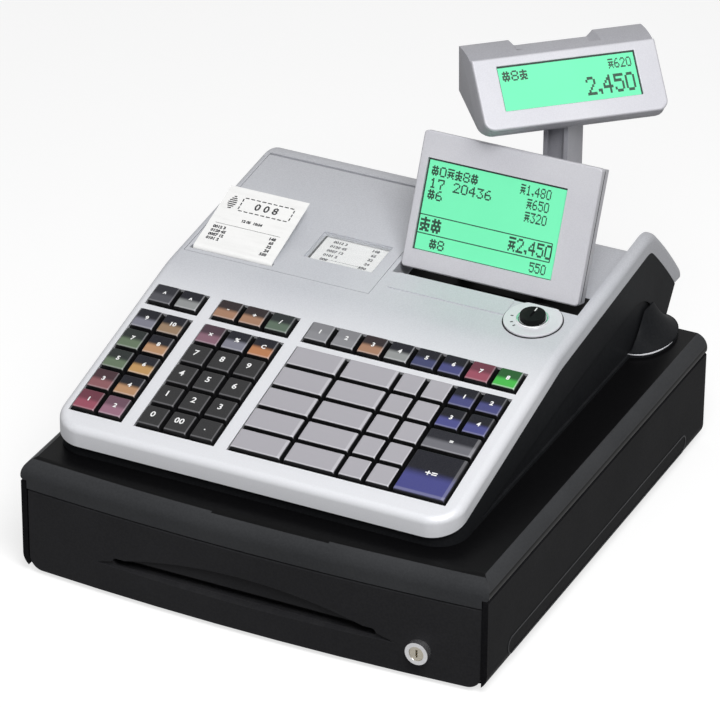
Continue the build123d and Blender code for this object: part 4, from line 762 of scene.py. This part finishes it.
keyBanks = {
    "keys_clerk": {
        "centre": -160.2, "columns": 2, "rows": 5, "row": 0, "words": "1 2 3 4 5 6 7 8 9 10",
        "tones": "rose mauve brick tan sage gold sage tan haze sand"},
    "keys_paper_feed": {
        "centre": -160.2, "columns": 2, "rows": 1, "row": 5, "tones": "charcoal pale", "words": "^ ^"},
    "keys_correction": {
        "centre": -89.6, "columns": 3, "rows": 1, "row": 5, "tones": "copper copper moss", "words": "- + /"},
    "keys_multiplier": {
        "centre": -89.6, "columns": 3, "rows": 1, "row": 4, "tones": "plum haze orange", "words": "x % C"},
    "keys_number": {
        "centre": -89.6, "columns": 3, "rows": 3, "row": 1, "tones": "slate " * 9,
        "words": "1 2 3 4 5 6 7 8 9"},
    "keys_zero": {
        "centre": -89.6, "columns": 3, "rows": 1, "row": 0, "tones": "slate " * 3, "words": "0 00 ."},
    "keys_department": {"centre": 5.2, "columns": 2, "rows": 5, "row": 0, "wide": 2, "tones": "grey " * 10},
    "keys_item": {"centre": 76.3, "columns": 2, "rows": 5, "row": 0, "tones": "grey " * 10},
    "keys_payment": {
        "centre": 123.7, "columns": 2, "rows": 2, "row": 3, "tones": "royal royal blue blue",
        "words": "3 4 1 2"},
    "key_subtotal": {
        "centre": 123.7, "columns": 1, "rows": 1, "row": 2, "wide": 2, "tones": "smoke", "words": "="},
    "key_total": {
        "centre": 123.7, "columns": 1, "rows": 1, "row": 0, "wide": 2, "tall": 2, "tones": "deep",
        "words": "+="},
    "keys_function": {
        "centre": 52.6, "columns": 8, "rows": 1, "row": 5, "tones": "ash ash copper pale navy blue rose leaf",
        "words": "1 2 3 4 5 6 7 8"},
}
legends = {"keys_number": (8.4, 0.2, -1.4, 1.4), "keys_zero": (8.4, 0.2, -1.4, 1.4),
           "key_total": (9, 0.25, 0, 0.5), "other": (6, 0.25, 0, 0.5)}  # size, weight, shift right and up


def capMesh(width, depth):
    rings = []
    for share, height, corner in keys["cap"]:
        inset = share * keys["topShrink"]
        rings.append(roundedRing(width - 2 * inset, depth - 2 * inset, corner, height))
    mesh = skinned("cap", rings)
    layer = mesh.uv_layers.new(name="capUv")  # 0 to 1 over the coloured top, near-black skirt beyond it: the dark cap body and painted shade under the caps
    for corner in mesh.loops:
        place = mesh.vertices[corner.vertex_index].co / mm
        layer.data[corner.index].uv = (place.x / (width - inset) + 0.5, place.y / (depth - inset) + 0.5)
    return smoothed(mesh, 50)


for node, bank in keyBanks.items():
    columns, rows = bank["columns"], bank["rows"]
    pitchX, pitchY = bank.get("wide", 1) * keys["pitch"], bank.get("tall", 1) * keys["rowPitch"]
    depth = pitchY
    middle = keys["firstRow"] + bank["row"] * keys["rowPitch"] + rows * pitchY / 2
    if bank["row"] == keys["upperRow"]:  # this row stands a little apart
        depth, middle = keys["upperDepth"], keys["upperMiddle"]
    holder = linked("capPart", capMesh(pitchX - keys["gap"], depth - keys["gap"]))
    mesh = grown(node + "Caps", capBank, {"Columns": columns, "Rows": rows, "Column Pitch": pitchX * mm,
                                          "Row Pitch": pitchY * mm, "Cap": holder,
                                          "Finish": finishes["keyCap"]})
    bpy.data.objects.remove(holder)
    tint = mesh.color_attributes.new("tint", "FLOAT_COLOR", "CORNER")
    tones = bank["tones"].split()
    for face in mesh.polygons:
        column = round(face.center.x / (pitchX * mm) + (columns - 1) / 2)
        row = round(face.center.y / (pitchY * mm) + (rows - 1) / 2)
        *tone, shade = capTones[tones[row * columns + column]]
        colour = paint(*tone)[:3] + (shade,)
        for corner in face.loop_indices:
            tint.data[corner].color = colour
    bankAt = keyPlane @ spot(bank["centre"], middle)
    piece = newPiece(node + "Caps", smoothed(placed(mesh, bankAt), 50), node + "_body")
    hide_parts(node)
    size, weight, right, up = legends.get(node, legends["other"])
    parts = []
    for index, word in enumerate(bank.get("words", "").split()):
        u = (index % columns - (columns - 1) / 2) * pitchX + right
        v = (index // columns - (rows - 1) / 2) * pitchY + up
        parts.append((lettering(word, size, weight), bankAt @ spot(u, v, keys["legendHeight"])))
    if parts:
        label = node + "Legends"
        newPiece(label, gathered(label, parts), node + "_body", "markWhite")
print("key banks:", len(keyBanks))


# screens
dotRows = {  # rows of five dots from the top down, as binary numbers
    "0": (14, 17, 17, 17, 17, 17, 14), "1": (4, 12, 4, 4, 4, 4, 14), "2": (14, 17, 1, 2, 4, 8, 31),
    "3": (31, 2, 4, 2, 1, 17, 14), "4": (2, 6, 10, 18, 31, 2, 2), "5": (31, 16, 30, 1, 1, 17, 14),
    "6": (6, 8, 16, 30, 17, 17, 14), "7": (31, 17, 1, 2, 4, 4, 4), "8": (14, 17, 17, 14, 17, 17, 14),
    "9": (14, 17, 17, 15, 1, 2, 12), ",": (0, 0, 0, 0, 0, 24, 8), "#": (10, 31, 10, 31, 21, 31, 10),
    "+": (4, 31, 4, 31, 21, 14, 27), "=": (31, 0, 31, 10, 31, 10, 17), " ": (0,) * 7,
}
dots = {"squeeze": 0.72, "fill": 0.56}  # sums are set narrower than names; half a dot's side over its pitch
screenBuild = {"glass": 0.06, "corner": 0.3, "gasketShadow": 0.1, "line": 0.02, "gasketShadowLift": 0.04,
               "lineLift": 0.07, "figureLift": 0.09}


def dotFigures(words, height, align):  # figures of a crystal display, grown from square dots
    pitch = height / 7
    squeeze = dots["squeeze"] if align == "RIGHT" else 1
    advances = [3 if word == "," else 6 for word in words]
    start = -sum(advances) + 1 if align == "RIGHT" else 0
    points = []
    for index, word in enumerate(words):
        for row, bits in enumerate(dotRows[word]):
            for column in range(5):
                if bits >> (4 - column) & 1:
                    across = (start + sum(advances[:index]) + column + 0.5) * squeeze
                    points.append((across * pitch, (3 - row) * pitch, 0))
    high = pitch * dots["fill"] * mm
    return scattered("dots", rectangle("dot", high * squeeze, high), points, "crystalInk")


def litScreen(name, plane, look, body):
    # glass sheet inside its dark frame, whose strips are wider on the sides the recess shades, as painted
    # shadow; then the figures a hair above it
    width, height = look["width"], look["height"]

    def onGlass(u, v, lift=0.0):
        return plane @ spot(look["left"] + u, look["base"] + v, look["sunk"] + lift)

    glass = slab(name + "Glass", width, height, screenBuild["glass"], screenBuild["corner"])
    newPiece(name + "Glass", placed(glass, onGlass(width / 2, height / 2)), body, "mintGlass")
    left, right, base, top = look["gasketShadow"]
    gasketShadowStrips = []
    for u, v, stripWidth, stripHeight in (
            (left / 2, height / 2, left, height), (width - right / 2, height / 2, right, height),
            (width / 2, base / 2, width, base), (width / 2, height - top / 2, width, top)):
        gasketShadowStrips.append((slab("strip", stripWidth, stripHeight, screenBuild["gasketShadow"]),
                       onGlass(u, v, screenBuild["gasketShadowLift"])))
    newPiece(name + "Gasket", gathered(name + "Gasket", gasketShadowStrips), body, "gasketShadowDark")
    parts = []
    for words, u, v, size, align in look["figures"]:
        parts.append((dotFigures(words, size, align),
                      onGlass(u * width, v * height, screenBuild["figureLift"])))
    for u, v, lineWidth, lineHeight in look["lines"]:
        parts.append((slab("line", lineWidth * width, lineHeight, screenBuild["line"]),
                      onGlass(u * width, v * height, screenBuild["lineLift"])))
    newPiece(name + "Figures", gathered(name + "Figures", parts), body, "crystalInk")


# frame widths left, right, base and top: wide strips on the shaded sides paint the recess's shadow
litScreen("clerkScreen", screenPlane, {
    "left": 7.3, "base": 15.8, "width": 124, "height": 76, "sunk": -2.15, "gasketShadow": (1.3, 0.4, 0.5, 1.6),
    "figures": [("#0=+8#", 0.035, 0.87, 8.2, "LEFT"), ("17 20436", 0.035, 0.735, 8.2, "LEFT"),
                ("#6", 0.035, 0.61, 8.2, "LEFT"), ("=1,480", 0.89, 0.885, 8.2, "RIGHT"),
                ("=650", 0.89, 0.745, 8.2, "RIGHT"), ("=320", 0.89, 0.605, 8.2, "RIGHT"),
                ("+#", 0.02, 0.285, 11.6, "LEFT"), ("=2,450", 0.965, 0.285, 11.6, "RIGHT"),
                ("#8", 0.11, 0.089, 8.2, "LEFT"), ("550", 0.945, 0.089, 8.2, "RIGHT")],
    "lines": [(0.485, 0.385, 0.95, 0.9), (0.485, 0.183, 0.95, 0.9), (0.96, 0.284, 0.007, 15.4)]},
    "clerk_display")
litScreen("customerScreen", headPlane, {
    "left": -58.5, "base": 0, "width": 117, "height": 38.2, "sunk": -1.45, "gasketShadow": (0.5, 1.2, 0.3, 1.3),
    "figures": [("#8+", 0.03, 0.77, 8.6, "LEFT"), ("=620", 0.965, 0.77, 8.2, "RIGHT"),
                ("2,450", 0.965, 0.33, 15.5, "RIGHT")],
    "lines": [(0.5, 0.985, 0.9, 0.2)]}, "customer_display")
print("screens lit")


# printed receipt and journal
def printedSheet(name, node, body, look):
    # flat lettering laid on the sheet's own surface
    surface = nodes[node].data
    tree = BVHTree.FromPolygons([vertex.co for vertex in surface.vertices],
                                [tuple(face.vertices) for face in surface.polygons])
    flat = []
    for words, u, v, size, align in look["figures"]:
        flat.append((lettering(words, size, look["weight"], align), spot(u, v)))
    for u, v, width, height in look["lines"]:
        flat.append((slab("line", width, height, 0.01), spot(u, v)))
    mesh = gathered(name, flat)
    for vertex in mesh.vertices:
        x = look["x"] * mm + vertex.co.x
        y = look["y"] * mm + vertex.co.y * look["lean"]
        hit = tree.ray_cast(Vector((x, y, 1)), Vector((0, 0, -1)))[0]
        vertex.co = Vector((x, y, (hit.z if hit else 0) + look["lift"] * mm))
    newPiece(name, mesh, body, "printInk")


def saleRows(left, right, top, pitch, size, blank=""):
    sales = [("0012 3", "148"), ("0120 45", "65"), ("0007 12", "32"), ("0101 2", "24"), (blank, "550")]
    figures = []
    for index, (item, amount) in enumerate(sales):
        height = top - index * pitch
        figures += [(item, left, height, size, "LEFT"), (amount, right, height, size, "RIGHT")]
    return figures


receiptLook = {"x": -181, "y": 17, "lean": 0.94, "lift": 0.05, "weight": 0.26, "lines": [],
               "figures": saleRows(6, 64, 26, 4.6, 4.2)}
receiptLook["figures"] += [("12 05  10:24", 36, 38, 3.8, "CENTER"), ("0 0 8", 41, 56, 10.5, "CENTER")]
for step in range(9):  # dashed frame round the heading
    receiptLook["lines"] += [(20 + step * 5.2, 63.5, 3.6, 1.1), (20 + step * 5.2, 48.5, 3.6, 1.1)]
for step in range(3):
    receiptLook["lines"] += [(17.5, 51.5 + step * 4.5, 1.1, 3.2), (64.5, 51.5 + step * 4.5, 1.1, 3.2)]
for step in range(7):  # stacked bars as a plain motif
    receiptLook["lines"].append((9.5, 49.5 + step * 2.2, 3.2 + 4.5 * sin(step * 0.55), 1.2))
receiptLook["lines"].append((36, 30.5, 60, 0.4))
printedSheet("receiptPrint", "receipt_paper", "printer_lid", receiptLook)

journalLook = {"x": -86.5, "y": 37, "lean": 0.99, "lift": 0.05, "weight": 0.24, "lines": [(28, 9.5, 40, 0.4)],
               "figures": saleRows(8, 50, 35, 6.6, 4.6, "000")}
printedSheet("journalPrint", "journal_paper", "register", journalLook)
print("paper printed")

# mode switch: chrome ring, black foot ring, marks
modeSwitch = {"x": 123, "y": 24.7, "foot": (23.9, 24.9, -0.2, 0.5), "angles": (187, 216, 234),
              "ring": [(11.2, 2.15), (11.3, 2.9), (11.9, 3.3), (13.0, 3.3), (13.6, 2.9), (13.8, 2.15)],
              "mark": (2.4, 1.4, 0.08, 0.3, 0.2), "markAt": (17.5, 0, 2.22),  # a slab's sizes and its place
              "pointer": (1.0, 5.0, 0.06, 0.3, 0.2), "pointerAt": (0, 6.4, 7.22)}
modeAt = deckPlane @ spot(modeSwitch["x"], deckLength(modeSwitch["y"]))
ring = placed(turnedMesh("modeRing", modeSwitch["ring"], 64), modeAt)
newPiece("modeRing", smoothed(ring, 40), "register", "brushedChrome")
foot = placed(tube("modeTrim", *modeSwitch["foot"], 96), modeAt)
newPiece("modeTrim", smoothed(foot, 40), "register", "innerBlack")
mark = slab("mark", *modeSwitch["mark"])
marks = [(mark, modeAt @ turned(angle) @ spot(*modeSwitch["markAt"])) for angle in modeSwitch["angles"]]
newPiece("modeMarks", gathered("modeMarks", marks), "register", "printInk")
pointer = slab("modePointer", *modeSwitch["pointer"])
newPiece("modePointer", placed(pointer, modeAt @ spot(*modeSwitch["pointerAt"])), "mode_key",
         "markWhite")


# case screws: crossed heads on the drawer's rear wall
def crossedHead(radius, height):
    dome = turnedMesh("dome", [(radius, 0), (radius, 0.45 * height), (0.86 * radius, 0.8 * height),
                               (0.6 * radius, height)], 24)
    arm = slab("arm", 1.1 * radius, 0.26 * radius, 0.02, 0.1)
    arms = [(arm, turned(angle) @ spot(0, 0, height)) for angle in (0, 90)]
    return gathered("crossedHead", [(dome, spot(0, 0))] + arms)


screws = {"radius": 4, "height": 1.9, "across": 155, "up": 22, "turn": 1.2, "seed": 4, "wall": (0, 201.3, 44)}
corners = [(x, z, 0) for x in (-screws["across"], screws["across"]) for z in (-screws["up"], screws["up"])]
heads = scattered("caseScrewHeads", crossedHead(screws["radius"], screws["height"]), corners, "zincSteel",
                  turn=screws["turn"], seed=screws["seed"])
rearWall = onPlane(screws["wall"], (-1, 0, 0), (0, 1, 0))
newPiece("caseScrewHeads", smoothed(placed(heads, rearWall), 35), "register")
print("small parts done")

view = {"azimuth": 25.887, "elevation": 29.491, "roll": 0.415, "at": (1464.2, -3056.2, 2050.0),
        "lens": 239.45, "sensor": 36, "far": 50}


def aimed(look):
    azimuth, elevation, roll = (radians(look[key]) for key in ("azimuth", "elevation", "roll"))
    back = Vector((sin(azimuth) * cos(elevation), -cos(azimuth) * cos(elevation), sin(elevation)))
    right = Vector((cos(azimuth), sin(azimuth), 0))
    up = back.cross(right)
    across = cos(roll) * right + sin(roll) * up
    upright = cos(roll) * up - sin(roll) * right
    return Matrix.Translation(Vector(look["at"]) * mm) @ Matrix((across, upright, back)).transposed().to_4x4()


eye = bpy.data.cameras.new("eye")
eye.lens = view["lens"]
eye.sensor_width = view["sensor"]
eye.clip_end = view["far"]
camera = linked("camera", eye)
camera.matrix_world = aimed(view)
scene.camera = camera

# studio: metres and watts
lamps = {
    "softKey": {"at": (0.95, -1.15, 1.95), "size": 1.1, "power": 50},
    "leftFill": {"at": (-2.2, -1.8, 1.5), "size": 1.6, "power": 5},
    "topSheet": {"at": (-0.3, -0.2, 2.5), "size": 1.6, "power": 5},
}
lampTarget = Vector((0, 0, 0.15))
for name, look in lamps.items():
    lamp = bpy.data.lights.new(name, "AREA")
    lamp.shape = "SQUARE"
    lamp.size = look["size"]
    lamp.energy = look["power"]
    facing = (Vector(look["at"]) - lampTarget).to_track_quat("Z", "Y").to_matrix().to_4x4()
    linked(name, lamp).matrix_world = Matrix.Translation(look["at"]) @ facing

studio = {"light": 0.22, "seen": 0.78, "floor": 0.36, "floorSpeck": 0.34, "floorGlow": 0.72, "floorHalf": 6}


def seenShare(board, glossy):  # 1 where the camera or a pane looks, less for a glossy surface, 0 for light
    camera, mirror, pane = (board.node("ShaderNodeLightPath", out=index) for index in (0, 3, 6))
    return (camera + mirror * glossy + pane).band(0.0, 1.0)


world = bpy.data.worlds.new("studio")
scene.world = world
world.use_nodes = True
world.node_tree.nodes.clear()
sky = Board(world.node_tree)
sheet = sky.node("ShaderNodeBackground", values={
    "Color": (1, 1, 1, 1), "Strength": seenShare(sky, 1) * studio["seen"] + studio["light"]})
sky.node("ShaderNodeOutputWorld", values={"Surface": sheet})

ground = newShader("paleFloor")
seen = seenShare(ground, 0.5)
plain, specked = (3 * (studio[key],) + (1,) for key in ("floor", "floorSpeck"))
speck = ground.noise(60, 3).band(0.2, 0.9) * 0.2
tone = ground.mixed(seen, plain, ground.mixed(speck, specked, plain))
matt = ground.node("ShaderNodeBsdfDiffuse", values={"Color": tone})
glow = ground.node("ShaderNodeEmission", values={
    "Color": (1, 1, 1, 1), "Strength": seen * studio["floorGlow"]})
both = ground.node("ShaderNodeAddShader", values={0: matt, 1: glow})
ground.node("ShaderNodeOutputMaterial", values={"Surface": both})
floorMesh = rectangle("floor", studio["floorHalf"], studio["floorHalf"])
floorMesh.materials.append(finishes["paleFloor"])
linked("floor", floorMesh)

scene.view_settings.view_transform = "Standard"
print("studio set")
